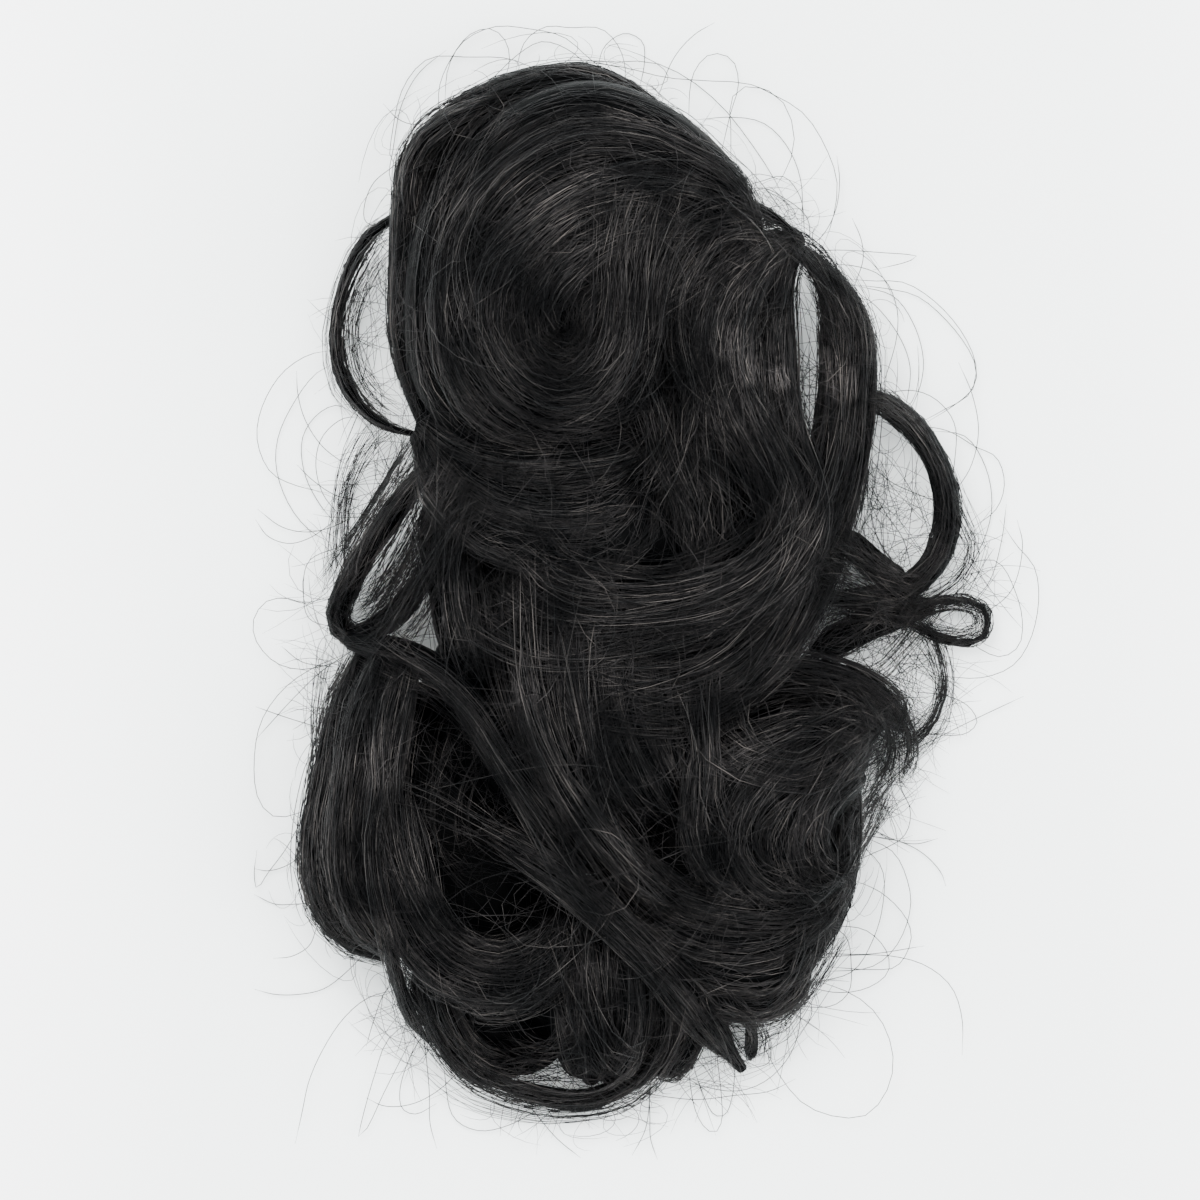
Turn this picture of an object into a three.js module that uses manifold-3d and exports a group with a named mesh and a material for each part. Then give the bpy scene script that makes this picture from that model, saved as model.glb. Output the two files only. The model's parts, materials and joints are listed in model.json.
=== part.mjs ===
// A claw clip ponytail: a hairpiece of wavy synthetic hair gathered on a claw clip, lying on a table.
// Units are millimetres, +Z is up, and +Y runs from the hair's tips to its crown.
// Each lock of hair is a tapering, flattened tube along a smooth curve, and the locks of one bunch are
// joined into one solid. Bunches that lie over others keep a small gap to what is under them.
import * as THREE from "three";
import { mergeVertices } from "three/addons/utils/BufferGeometryUtils.js";
import Module from "manifold-3d";

const wasm = await Module();
wasm.setup();

// Driving sizes of the whole hairpiece as it lies.
const PIECE_LENGTH = 298;
const PIECE_WIDTH = 197;
const PILE_HEIGHT = 72;

// The gap between two bunches that touch, and between the hair and the clip.
const HAIR_GAP = 0.4;

// Every lock has this many sides, and its rings of points are as close as its length and bends need.
const LOCK_SIDES = 6;
const RING_STEP = 90;
const RING_BEND = 33;

// The claw clip, which the hair hides. It stands on its teeth with its hinge along Y.
const CLIP_LENGTH = 76;
const CLIP_SPAN = 42;
const CLIP_HEIGHT = 34;
const CLIP_WALL = 2.6;
const TOOTH_COUNT = 5;
const TOOTH_CLEARANCE = 0.8;
const TOOTH_CROSSING = 16;
const HINGE_RADIUS = 4.5;
const GRIP_LENGTH = 30;
const GRIP_RISE = 17;
const GRIP_TILT = 34;
const GRIP_CORNER = 6;

// The clip's middle, in hundredths of the hairpiece's width and length from its lower left corner.
const CLIP_ACROSS = 38;
const CLIP_ALONG = 80.5;

// Room past the clip's lower end, where the wearer's own hair comes out.
const POCKET_LENGTH = 22;

// Hidden padding under the locks. Columns: place and half size in hundredths of the piece's width
// (across) and length (along), and the top in hundredths of the pile's height.
const PADS = [
  { bunch: "crown_hair", across: 37, along: 81.5, halfAcross: 20.5, halfAlong: 15, top: 68 },
  { bunch: "tail_hair", across: 44, along: 58, halfAcross: 24, halfAlong: 13, top: 56 },
  { bunch: "tail_hair", across: 42, along: 38, halfAcross: 25, halfAlong: 15, top: 50 },
  { bunch: "tail_hair", across: 22, along: 28, halfAcross: 17, halfAlong: 14, top: 32 },
  { bunch: "tail_hair", across: 60, along: 27, halfAcross: 18, halfAlong: 14, top: 40 },
  { bunch: "tail_hair", across: 45, along: 14, halfAcross: 16, halfAlong: 9, top: 30 },
  { bunch: "tail_hair", across: 26, along: 13, halfAcross: 10, halfAlong: 8, top: 24 },
];

// The locks. Each path point is [across, along, up], in hundredths of the piece's width, the piece's
// length and the pile's height. Widths are hundredths of the piece's width, and thicknesses are
// hundredths of the pile's height. Ends gives the share of them left at the first and the last point,
// and rings the number of stretches of a lock whose outline needs more than the others.
const LOCKS = [
  // Arcs that sweep from the right, over the crown, down its left side and back under.
  { bunch: "crown_hair", width: 5, thick: 26, rings: 16, path: [[60.5, 86.5, 14], [56, 91, 14],
    [48.5, 95.5, 14], [40, 98.2, 14], [30.5, 97.3, 14], [22.3, 94.2, 14], [17, 90.3, 14],
    [16.3, 85.5, 14], [16, 79, 14], [16, 73, 14], [18, 68, 14], [21, 64, 14]] },
  { bunch: "crown_hair", width: 5.5, thick: 34, rings: 16, path: [[61, 87, 38], [56.5, 91.3, 38],
    [49, 95.8, 38], [40.5, 98.6, 38], [31, 97.6, 38], [22.5, 94.6, 38], [17.2, 90.6, 38],
    [16.2, 86, 38], [15.6, 80, 37], [15.6, 74, 36], [17, 68.5, 34], [19.5, 64.5, 32]] },
  { bunch: "crown_hair", width: 8, thick: 34, rings: 13, path: [[61.5, 87.5, 48], [57, 91, 56],
    [50, 94.3, 60], [42, 96, 61], [34, 94.5, 61], [27, 91, 60], [22, 86.5, 58], [19.5, 81, 56],
    [19, 75, 54], [20.5, 69.5, 50], [25, 65.5, 50], [32, 63, 52]] },
  { bunch: "crown_hair", width: 8.5, thick: 30, path: [[61, 87, 50], [55, 89.5, 64], [48, 91.3, 72],
    [40, 91.3, 75], [32, 88.3, 76], [26.5, 84, 75], [24, 78.5, 72], [24.5, 72.5, 68], [28, 68, 64],
    [34, 65.5, 62], [42, 65, 60]] },
  { bunch: "crown_hair", width: 8.5, thick: 28, path: [[60, 86.8, 50], [53, 87.8, 68], [46, 88, 80],
    [39, 86.5, 85], [32.5, 83, 86], [28.5, 79, 84], [27.5, 75, 80], [29.5, 71, 76], [34, 68.3, 72],
    [40, 67.3, 70], [46, 67.5, 68], [51, 69.5, 64]] },
  { bunch: "crown_hair", width: 8, thick: 26, path: [[59, 85.6, 50], [52, 85.4, 68], [45, 84.3, 80],
    [38.5, 81.5, 85], [34.3, 78.3, 84], [33, 75, 80], [34.5, 72, 76], [38.5, 70.2, 74],
    [43.5, 70, 72], [48.5, 71.5, 68]] },
  { bunch: "crown_hair", width: 7, thick: 22, path: [[57, 83.5, 52], [50, 82.5, 66], [44, 80, 74],
    [40, 77, 76], [39.5, 74.5, 74], [42, 73, 72], [46, 73.5, 70], [50, 75.5, 66]] },
  { bunch: "crown_hair", width: 8, thick: 24, path: [[60, 82, 50], [54, 79.5, 62], [48, 76.5, 70],
    [45, 73, 70], [45, 69.5, 66], [47, 66, 60]] },
  { bunch: "crown_hair", width: 4.5, thick: 40, path: [[31, 97, 42], [23, 95, 42], [17.8, 92.3, 40],
    [16.3, 89.3, 38], [16.5, 86, 36], [17.5, 82, 36]] },

  // The fan of hair that leaves the crown at the left and crosses the middle.
  { bunch: "tail_hair", width: 9, thick: 24, path: [[18, 66.5, 38], [24, 64.3, 44],
    [31, 63.2, 50], [39, 63.2, 52], [46, 64, 50], [52, 66, 48]] },
  { bunch: "tail_hair", width: 9, thick: 24, path: [[18, 65.3, 36], [23, 61, 46], [30, 58, 54],
    [38, 57.3, 56], [45, 58, 54], [49.5, 61, 50]] },
  { bunch: "tail_hair", width: 8, thick: 24, path: [[18.3, 64.5, 36], [22, 60, 46], [28, 56, 53],
    [36, 54.3, 55], [44, 54.5, 53], [48.5, 57, 51], [50, 61, 49]] },
  { bunch: "tail_hair", width: 8, thick: 24, path: [[20, 60, 30], [21.5, 55, 36], [22.5, 50, 40],
    [24, 45, 44], [27, 41, 46]] },
  { bunch: "tail_hair", width: 8, thick: 24, path: [[28, 53, 40], [33, 50, 42], [40, 47.5, 44],
    [48, 46, 44], [56, 45.5, 44]] },
  { bunch: "tail_hair", width: 8, thick: 20, path: [[52, 66, 50], [55, 61, 46], [57, 56, 44],
    [58, 51, 44]] },

  { bunch: "tail_hair", width: 7, thick: 20, path: [[39, 47, 46], [39.5, 42, 50], [41.5, 37, 53],
    [45, 32, 54], [50, 28, 50]] },
  { bunch: "tail_hair", width: 6, thick: 20, path: [[45.5, 45, 46], [46.5, 40, 50], [48.7, 35.3, 51],
    [52, 31, 50], [55.5, 27.5, 46]] },
  { bunch: "tail_hair", width: 6, thick: 20, path: [[51.5, 44, 44], [52.5, 39, 46], [54, 34, 46],
    [56, 29.5, 44]] },

  // The left side of the tail.
  { bunch: "tail_hair", width: 7, thick: 38, rings: 9, path: [[10.5, 45, 22], [7.8, 39, 22], [5.2, 32, 22],
    [3.9, 27, 22], [4, 22, 22], [6.5, 18.5, 22], [10, 16.4, 22], [14, 15.5, 22]] },
  { bunch: "tail_hair", width: 6, thick: 32, path: [[12.5, 44.5, 36], [9.5, 37, 38], [7, 30, 38],
    [6.5, 25, 38], [7.5, 20.5, 36], [10.5, 17, 34], [14, 15.5, 32]] },
  { bunch: "tail_hair", width: 6, thick: 28, path: [[16, 44, 42], [13, 36.5, 46], [11.3, 29, 47],
    [11.2, 24, 45], [12.5, 19, 42], [14.5, 16, 38]] },

  // Curls at the right of the tail that turn round in hooks.
  { bunch: "tail_hair", width: 8, thick: 24, path: [[83, 38, 26], [78, 36.3, 38], [71, 34.2, 48],
    [64.5, 32.3, 52], [60.5, 29.5, 52], [59.3, 26, 50], [61.5, 23.2, 46], [66, 21.9, 42]] },
  { bunch: "tail_hair", width: 5, thick: 24, path: [[58, 36.5, 50], [57.3, 31, 52], [57.5, 26.5, 50],
    [60, 23.3, 46], [64.5, 21.6, 42], [69, 21.5, 38]] },
  { bunch: "tail_hair", width: 6, thick: 24, path: [[80, 36, 38], [73, 33, 50], [67, 30.5, 57],
    [63.8, 27.5, 58], [64.5, 24.5, 54], [68, 22.2, 48], [72, 21.5, 42]] },
  { bunch: "tail_hair", width: 6, thick: 24, path: [[80, 34.5, 36], [75, 32, 48], [70.5, 29, 56],
    [69, 26, 56], [70.5, 23.3, 50], [74, 21.9, 44], [78, 22.9, 38]] },
  { bunch: "tail_hair", width: 5, thick: 34, path: [[78, 35.5, 26], [78.3, 31, 26], [78.5, 27, 26],
    [78, 23.5, 26], [75.5, 20.3, 26], [72, 18, 26]] },

  // Sweeps that round off the tail's lower right.
  { bunch: "tail_hair", width: 6, thick: 24, path: [[47, 25.5, 44], [52, 22, 44], [58.5, 20, 42],
    [66, 19.3, 38], [73, 20, 34], [78, 22.6, 30]] },
  { bunch: "tail_hair", width: 6, thick: 24, path: [[49, 20.5, 40], [56, 17.6, 38], [63, 16.6, 36],
    [70, 17.4, 32], [75, 19.8, 28], [78, 23.5, 26]] },
  { bunch: "tail_hair", width: 5, thick: 24, path: [[52, 16.6, 34], [59, 14.2, 32], [65, 13.4, 30],
    [70, 14.2, 26], [73.5, 16.5, 20]] },
  { bunch: "tail_hair", width: 5, thick: 24, path: [[55, 12.8, 30], [60.5, 11, 26], [66, 10.6, 22],
    [70.5, 11.8, 18], [73, 14, 14]] },
  { bunch: "tail_hair", width: 5, thick: 24, path: [[58, 10.5, 12], [64, 11, 12], [70, 13, 12],
    [73.5, 16, 12], [76.5, 19.5, 12], [78.3, 24, 12], [78.5, 30, 12], [77.5, 35, 12]] },
  { bunch: "tail_hair", width: 1.6, thick: 7, path: [[64.5, 10.5, 10], [65.4, 7.7, 7],
    [65.2, 5, 4]], ends: [0.8, 0.3] },

  // The hair at the bottom of the tail.
  { bunch: "tail_hair", width: 7, thick: 24, path: [[18.5, 15.5, 26],
    [20.3, 10.5, 22], [22.8, 7, 17], [26.5, 4.8, 12], [31, 4.4, 10]] },
  { bunch: "tail_hair", width: 4.5, thick: 20, path: [[36, 12.5, 32], [37.8, 8.5, 26],
    [39.5, 5.3, 18], [41, 4, 12]] },
  { bunch: "tail_hair", width: 6, thick: 22, path: [[41.5, 19, 40], [42, 14, 38], [42.3, 9, 30],
    [42.3, 5.5, 19], [42, 3.6, 11]] },
  { bunch: "tail_hair", width: 5.5, thick: 22, path: [[46, 18.5, 40], [47.6, 13, 37], [47.8, 8.5, 28],
    [46.3, 5.3, 18], [44, 3.8, 11]] },
  { bunch: "tail_hair", width: 5, thick: 16, path: [[57, 10.5, 22], [56, 7.5, 15], [53.5, 5, 10],
    [51, 4.2, 8]] },
  { bunch: "tail_hair", width: 5, thick: 20, path: [[50, 16, 28], [52.5, 11, 22], [52, 7, 14],
    [49, 4.5, 10]] },

  // Loose locks, each a piece of its own, in the order in which they lie over each other.
  { bunch: "tip_lock", width: 5.5, thick: 18, ends: [0.5, 0.3], path: [[26, 27.7, 38], [31, 26, 48],
    [36, 23.8, 56], [41, 21.2, 59], [46, 18.2, 55], [51, 14.8, 46], [55, 11.8, 34], [59, 8.6, 23],
    [62, 6, 12], [64, 4.2, 7]] },
  { bunch: "upper_diagonal", width: 4.5, thick: 18, path: [[7.5, 45.3, 26], [13, 44.6, 38],
    [18.5, 43.2, 46], [23, 41, 50], [26.5, 37.8, 52], [30, 34, 54], [34, 30, 55], [38, 26.8, 55],
    [42, 24.2, 55]] },
  { bunch: "centre_diagonal", width: 5, thick: 18, path: [[32.5, 45, 50], [32.8, 41.5, 54],
    [34.2, 37.3, 57], [37.4, 32.6, 59], [41, 28.9, 60], [45.5, 25.6, 58], [51, 22, 54],
    [57, 20, 46]] },
  { bunch: "bowl_curl", width: 9, thick: 24, rings: 9, path: [[13.5, 31, 50], [14.5, 25, 50],
    [16.3, 19.8, 47],
    [20, 15.8, 44], [26, 13.6, 42], [32, 13.8, 42], [37, 16.3, 43], [39.3, 20, 44]] },
  { bunch: "top_strand", width: 1.8, thick: 6, path: [[46, 87.5, 94], [53, 88.2, 82], [60, 87.6, 66],
    [65, 86.7, 50], [69, 85.4, 42], [71.8, 83.9, 38]] },
  { bunch: "front_lock", width: 7, thick: 22, path: [[71.3, 83.6, 30], [67, 82, 42], [63, 78, 54],
    [61.5, 73, 60], [62.5, 69, 60], [65.5, 64.5, 58], [68.5, 60, 56], [70, 56.3, 55],
    [68.5, 53, 55], [63, 50.7, 56], [55, 49.9, 56], [46, 50.2, 56]] },
  { bunch: "front_lock", width: 5, thick: 22, path: [[71.6, 83.3, 28], [69.8, 80, 36], [69, 76, 44],
    [69, 71, 46], [69.7, 67, 46], [71.5, 63, 47], [73.3, 59, 48], [73.6, 55.5, 50],
    [71.2, 51.8, 52], [66, 49, 54], [60, 47.8, 54], [52, 47.6, 52], [44, 47.6, 50],
    [36, 47, 48]] },
  { bunch: "front_lock", width: 7, thick: 22, path: [[69, 83.4, 32], [62.5, 81.7, 46], [58, 78, 56],
    [57, 74, 58], [58.8, 70, 57], [61.5, 66, 55], [64.5, 62.5, 54]] },
  { bunch: "fall_lock", width: 8.8, thick: 24, rings: 13, path: [[72.4, 82.6, 22], [75, 81, 22],
    [78.2, 77.5, 21], [79.3, 72, 20], [78.8, 66, 21], [77.2, 60.5, 24], [75.2, 55.5, 29],
    [72, 50, 35], [68, 45.5, 40], [62, 42.3, 45], [55, 41, 47], [47, 41.3, 47]] },
  { bunch: "left_loop", width: 2, thick: 12, rings: 10, path: [[16, 86.8, 30], [10.8, 84.5, 24],
    [6.9, 80.5, 18], [5, 75.5, 14], [5.7, 71.3, 12], [8.7, 67.8, 14], [12.7, 65.8, 20],
    [17.5, 65, 27]] },
  { bunch: "left_fold", width: 3.4, thick: 14, path: [[19, 62.7, 32], [14, 58.2, 26], [10, 54.4, 20],
    [6.6, 50.4, 15], [5, 47.6, 11], [6.8, 45.7, 11], [11.4, 46.8, 18], [16.5, 50, 26],
    [21, 53.8, 34]] },
  { bunch: "hook_curl", width: 6, thick: 17, path: [[68, 42.3, 26], [72, 42.3, 26],
    [77, 41.9, 25], [82, 40.6, 22], [85.6, 38.6, 18], [87.6, 36, 13], [87.8, 33.5, 8]],
    ends: [0.7, 0.25] },
  { bunch: "right_loop", width: 3.6, thick: 14, rings: 12, path: [[79, 68.3, 12], [82.5, 68.7, 12],
    [86.5, 67.4, 12], [90.3, 64.8, 12], [93, 61.3, 12], [93.9, 57.5, 12], [92.6, 53.6, 12],
    [89.3, 51, 13], [85, 49.7, 14], [80, 49.3, 16], [75.5, 49.5, 18]] },
  { bunch: "right_loop", width: 4, thick: 9, path: [[78, 55.7, 16], [81, 54, 15], [84.5, 52, 14],
    [88, 50.5, 12]] },
  { bunch: "eyelet_curl", width: 5, thick: 11, path: [[74, 44.4, 24], [78, 45.4, 20], [82.4, 46.7, 15],
    [87, 47.9, 10], [91.5, 48.8, 7]] },
  { bunch: "eyelet_curl", width: 1.5, thick: 8, path: [[88, 48.1, 9], [92.5, 49.1, 7], [97, 49.2, 6],
    [99.3, 48.3, 6], [99.8, 46.7, 6], [98.2, 45.2, 6], [94.8, 45.2, 6], [91.3, 45.9, 6],
    [88.3, 47.1, 7]],
    ends: [1, 0.7] },
  { bunch: "left_tip", width: 2.2, thick: 12, path: [[11.6, 22, 52], [12.8, 17, 46], [14.3, 12.5, 30],
    [16, 9.2, 16], [18.3, 6.9, 7]], ends: [0.5, 0.3] },
  { bunch: "bottom_arc", width: 3, thick: 12, path: [[49.5, 18, 30], [52.8, 13, 26], [53.5, 8.7, 18],
    [51, 4.9, 11], [46.5, 2.6, 7], [41, 1.3, 6], [35.5, 1.6, 6], [30, 2.6, 7], [25.5, 3.2, 8]],
    ends: [0.6, 0.4] },
];

// The bunches from the top of the pile to the bottom: each is cut clear of those before it.
const LAYERS = ["tip_lock", "centre_diagonal", "upper_diagonal", "left_tip", "top_strand", "bowl_curl",
  "front_lock", "fall_lock", "left_loop", "left_fold", "hook_curl", "eyelet_curl", "right_loop",
  "bottom_arc", "crown_hair", "tail_hair"];

const HAIR_MATERIAL = { color: 0x17181a, roughness: 0.42, metalness: 0 };
const CLIP_MATERIAL = { color: 0x0c0c0d, roughness: 0.3, metalness: 0 };

// A place in millimetres, from hundredths of the piece's width, its length and the pile's height.
function place([across, along, up]) {
  return new THREE.Vector3(
    ((across - 50) / 100) * PIECE_WIDTH,
    ((along - 50) / 100) * PIECE_LENGTH,
    (up / 100) * PILE_HEIGHT,
  );
}

// A closed geometry as a solid that can be joined and cut.
function solidFrom(geometry) {
  const bare = geometry.index ? geometry.toNonIndexed() : geometry.clone();
  bare.deleteAttribute("normal");
  bare.deleteAttribute("uv");
  const merged = mergeVertices(bare, 1e-4);
  return new wasm.Manifold(
    new wasm.Mesh({
      numProp: 3,
      vertProperties: merged.attributes.position.array,
      triVerts: new Uint32Array(merged.index.array),
    }),
  );
}

// A solid as a geometry that three.js can draw.
function geometryFrom(solid) {
  const mesh = solid.getMesh();
  const geometry = new THREE.BufferGeometry();
  geometry.setAttribute("position", new THREE.BufferAttribute(mesh.vertProperties, 3));
  geometry.setIndex(new THREE.BufferAttribute(mesh.triVerts, 1));
  const faceted = geometry.toNonIndexed();
  faceted.computeVertexNormals();
  return faceted;
}

function joined(solids) {
  return solids.reduce((whole, solid) => whole.add(solid));
}

// The largest piece of a solid. A cut can leave loose crumbs beside it.
function mainBody(solid) {
  return solid.decompose().reduce((best, body) => (body.volume() > best.volume() ? body : best));
}

// The share of its full size that a lock has at a share of its length.
function taper(along, [first, last]) {
  const SWELL = 0.2;
  const rise = THREE.MathUtils.smoothstep(along, -1e-6, SWELL);
  const fall = THREE.MathUtils.smoothstep(1 - along, -1e-6, SWELL);
  return (first + (1 - first) * rise) * (last + (1 - last) * fall);
}

// How many stretches a lock is drawn in: more where it is long, and more where it bends.
function ringCount(curve) {
  const SAMPLES = 48;
  let bend = 0;
  for (let i = 1; i <= SAMPLES; i++) {
    bend += curve.getTangent((i - 1) / SAMPLES).angleTo(curve.getTangent(i / SAMPLES));
  }
  return Math.max(4, Math.round(curve.getLength() / RING_STEP
    + THREE.MathUtils.radToDeg(bend) / RING_BEND));
}

// One lock: a cylinder whose rings are laid along the path, wide across it and flat in height.
function lockSolid({ path, width, thick, ends = [0.6, 0.5], rings }, extra = 0) {
  const curve = new THREE.CatmullRomCurve3(path.map(place), false, "centripetal");
  const geometry = new THREE.CylinderGeometry(1, 1, 1, LOCK_SIDES, rings ?? ringCount(curve));
  geometry.rotateY(Math.PI / LOCK_SIDES);
  const position = geometry.attributes.position;
  const up = new THREE.Vector3(0, 0, 1);
  const halfWidth = (width / 200) * PIECE_WIDTH;
  const halfThick = (thick / 200) * PILE_HEIGHT;
  for (let i = 0; i < position.count; i++) {
    const along = Math.min(1, Math.max(0, position.getY(i) + 0.5));
    const forward = curve.getTangentAt(along);
    const side = forward.clone().cross(up).normalize();
    const top = side.clone().cross(forward);
    const share = taper(along, ends);
    const point = curve
      .getPointAt(along)
      .addScaledVector(side, position.getX(i) * (halfWidth * share + extra))
      .addScaledVector(top, position.getZ(i) * (halfThick * share + extra));
    if (along === 0 || along === 1) point.addScaledVector(forward, along === 0 ? -extra : extra);
    position.setXYZ(i, point.x, point.y, point.z);
  }
  const solid = solidFrom(geometry);
  return solid.volume() < 0 ? solidFrom(reversed(geometry)) : solid;
}

// The same geometry with its faces turned round.
function reversed(geometry) {
  const turned = geometry.clone();
  const index = Array.from(geometry.index.array);
  for (let i = 0; i < index.length; i += 3) [index[i], index[i + 1]] = [index[i + 1], index[i]];
  turned.setIndex(index);
  return turned;
}

// A low dome of padding that stands on the table.
function padSolid({ across, along, halfAcross, halfAlong, top }) {
  const SIDES = 10;
  const RINGS = 5;
  const RISE = 0.3;
  const height = (top / 100) * PILE_HEIGHT;
  const geometry = new THREE.SphereGeometry(1, SIDES, RINGS);
  geometry.rotateX(Math.PI / 2);
  geometry.scale((halfAcross / 100) * PIECE_WIDTH, (halfAlong / 100) * PIECE_LENGTH,
    height * (1 - RISE));
  const middle = place([across, along, 0]);
  geometry.translate(middle.x, middle.y, height * RISE);
  return solidFrom(geometry);
}

// A block from one corner to the other.
function blockSolid(low, high) {
  const geometry = new THREE.BoxGeometry(high.x - low.x, high.y - low.y, high.z - low.z);
  geometry.translate((low.x + high.x) / 2, (low.y + high.y) / 2, (low.z + high.z) / 2);
  return solidFrom(geometry);
}

// An outline in X and Z, run along Y from the given start.
function prismSolid(shape, start, length, origin = new THREE.Vector3(), curveSegments = 6) {
  const geometry = new THREE.ExtrudeGeometry(shape, { depth: length, bevelEnabled: false,
    curveSegments });
  geometry.rotateX(Math.PI / 2);
  geometry.translate(origin.x, origin.y + start + length, origin.z);
  return solidFrom(geometry);
}

// Half of an oval ring: one jaw of the clip, seen along the hinge. It passes the middle at its foot.
function jawShape(side) {
  const radiusX = CLIP_SPAN / 2;
  const radiusZ = CLIP_HEIGHT / 2;
  const crossing = THREE.MathUtils.degToRad(TOOTH_CROSSING);
  const shape = new THREE.Shape();
  shape.absellipse(0, radiusZ, radiusX, radiusZ, -Math.PI / 2 - crossing, Math.PI / 2 + 0.1, false, 0);
  shape.absellipse(0, radiusZ, radiusX - CLIP_WALL, radiusZ - CLIP_WALL, Math.PI / 2 + 0.1,
    -Math.PI / 2 - crossing, true, 0);
  return new THREE.Shape(shape.getPoints(5).map(({ x, y }) => new THREE.Vector2(side * x, y)));
}

// One jaw with the gaps between its teeth cut out. The other jaw's teeth stand in those gaps.
function jawSolid(side) {
  const pitch = CLIP_LENGTH / TOOTH_COUNT;
  const start = -CLIP_LENGTH / 2;
  const offset = side < 0 ? 0 : pitch / 2;
  let jaw = prismSolid(jawShape(side), start, CLIP_LENGTH);
  for (let i = 0; i < TOOTH_COUNT; i++) {
    const low = start + offset + i * pitch - TOOTH_CLEARANCE / 2;
    jaw = jaw.subtract(
      blockSolid(
        new THREE.Vector3(-CLIP_SPAN, low, -1),
        new THREE.Vector3(CLIP_SPAN, low + pitch / 2 + TOOTH_CLEARANCE, CLIP_HEIGHT * 0.36),
      ),
    );
  }
  return jaw;
}

// A plate with round upper corners that the fingers press.
function gripSolid(side) {
  const half = GRIP_LENGTH / 2;
  const shape = new THREE.Shape();
  shape.moveTo(-half, 0);
  shape.lineTo(half, 0);
  shape.lineTo(half, GRIP_RISE - GRIP_CORNER);
  shape.absarc(half - GRIP_CORNER, GRIP_RISE - GRIP_CORNER, GRIP_CORNER, 0, Math.PI / 2, false);
  shape.absarc(-half + GRIP_CORNER, GRIP_RISE - GRIP_CORNER, GRIP_CORNER, Math.PI / 2, Math.PI, false);
  shape.closePath();
  const geometry = new THREE.ExtrudeGeometry(shape, { depth: CLIP_WALL, bevelEnabled: false,
    curveSegments: 4 });
  geometry.translate(0, 0, -CLIP_WALL / 2);
  geometry.rotateX(Math.PI / 2);
  geometry.rotateZ(Math.PI / 2);
  geometry.rotateY(THREE.MathUtils.degToRad(side * GRIP_TILT));
  geometry.translate(0, 0, CLIP_HEIGHT - CLIP_WALL);
  return solidFrom(geometry);
}

function hingeSolid() {
  const geometry = new THREE.CylinderGeometry(HINGE_RADIUS, HINGE_RADIUS, CLIP_LENGTH * 0.6, 12);
  geometry.translate(0, 0, CLIP_HEIGHT - CLIP_WALL);
  return solidFrom(geometry);
}

// The claw clip in its own place: jaws, hinge and grips as one plain piece.
function clipSolid() {
  return joined([jawSolid(1), jawSolid(-1), hingeSolid(), gripSolid(1), gripSolid(-1)]);
}

// The hollow that the hair leaves for the clip, open at the bottom and past the clip's lower end.
function clipRoom(origin) {
  const radiusX = CLIP_SPAN / 2 + HAIR_GAP;
  const radiusZ = CLIP_HEIGHT / 2 + HAIR_GAP;
  const arch = new THREE.Shape();
  arch.moveTo(-radiusX, -1);
  arch.lineTo(radiusX, -1);
  arch.absellipse(0, CLIP_HEIGHT / 2, radiusX, radiusZ, 0, Math.PI, false, 0);
  arch.closePath();
  const start = -CLIP_LENGTH / 2 - POCKET_LENGTH;
  const tunnel = prismSolid(arch, start, CLIP_LENGTH + POCKET_LENGTH + HAIR_GAP, origin, 10);
  const tilt = THREE.MathUtils.degToRad(GRIP_TILT);
  const foot = HINGE_RADIUS + HAIR_GAP;
  const reach = GRIP_RISE * Math.sin(tilt) + CLIP_WALL / 2 + 2 * HAIR_GAP;
  const shoulder = CLIP_HEIGHT - CLIP_WALL + (GRIP_RISE - CLIP_WALL) * Math.cos(tilt);
  const top = shoulder + 2 * CLIP_WALL;
  const wedge = new THREE.Shape();
  wedge.moveTo(-foot, CLIP_HEIGHT / 2);
  wedge.lineTo(foot, CLIP_HEIGHT / 2);
  wedge.lineTo(foot, CLIP_HEIGHT - CLIP_WALL);
  wedge.lineTo(reach, shoulder - CLIP_WALL);
  wedge.lineTo(reach, top);
  wedge.lineTo(-reach, top);
  wedge.lineTo(-reach, shoulder - CLIP_WALL);
  wedge.lineTo(-foot, CLIP_HEIGHT - CLIP_WALL);
  wedge.closePath();
  const hinge = CLIP_LENGTH * 0.6 + 2 * HAIR_GAP;
  const ridge = prismSolid(wedge, -hinge / 2, hinge, origin);
  return tunnel.add(ridge);
}

// Builds every bunch from the top layer down, each clear of the clip and of the bunches above it.
function hairSolids(room) {
  const above = [];
  const solids = new Map();
  const reach = 4 * (PIECE_LENGTH + PIECE_WIDTH);
  const belowTable = blockSolid(new THREE.Vector3(-reach, -reach, -reach),
    new THREE.Vector3(reach, reach, 0));
  for (const bunch of LAYERS) {
    const rows = LOCKS.filter((lock) => lock.bunch === bunch);
    const pads = PADS.filter((pad) => pad.bunch === bunch).map(padSolid);
    let solid = joined([...pads, ...rows.map((lock) => lockSolid(lock))]);
    solid = solid.subtract(belowTable).subtract(room);
    for (const space of above) solid = solid.subtract(space);
    solids.set(bunch, mainBody(solid));
    above.push(joined([...rows.map((lock) => lockSolid(lock, HAIR_GAP)), ...pads]));
  }
  return solids;
}

function meshOf(name, solid, look) {
  const mesh = new THREE.Mesh(geometryFrom(solid), new THREE.MeshStandardMaterial(look));
  mesh.name = name;
  return mesh;
}

const clipPlace = place([CLIP_ACROSS, CLIP_ALONG, 0]);
const hair = hairSolids(clipRoom(clipPlace));
const ponytail = new THREE.Group();
const clip = meshOf("claw_clip", clipSolid(), CLIP_MATERIAL);
clip.position.copy(clipPlace);
ponytail.add(clip);
for (const [name, solid] of hair) ponytail.add(meshOf(name, solid, HAIR_MATERIAL));

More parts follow.
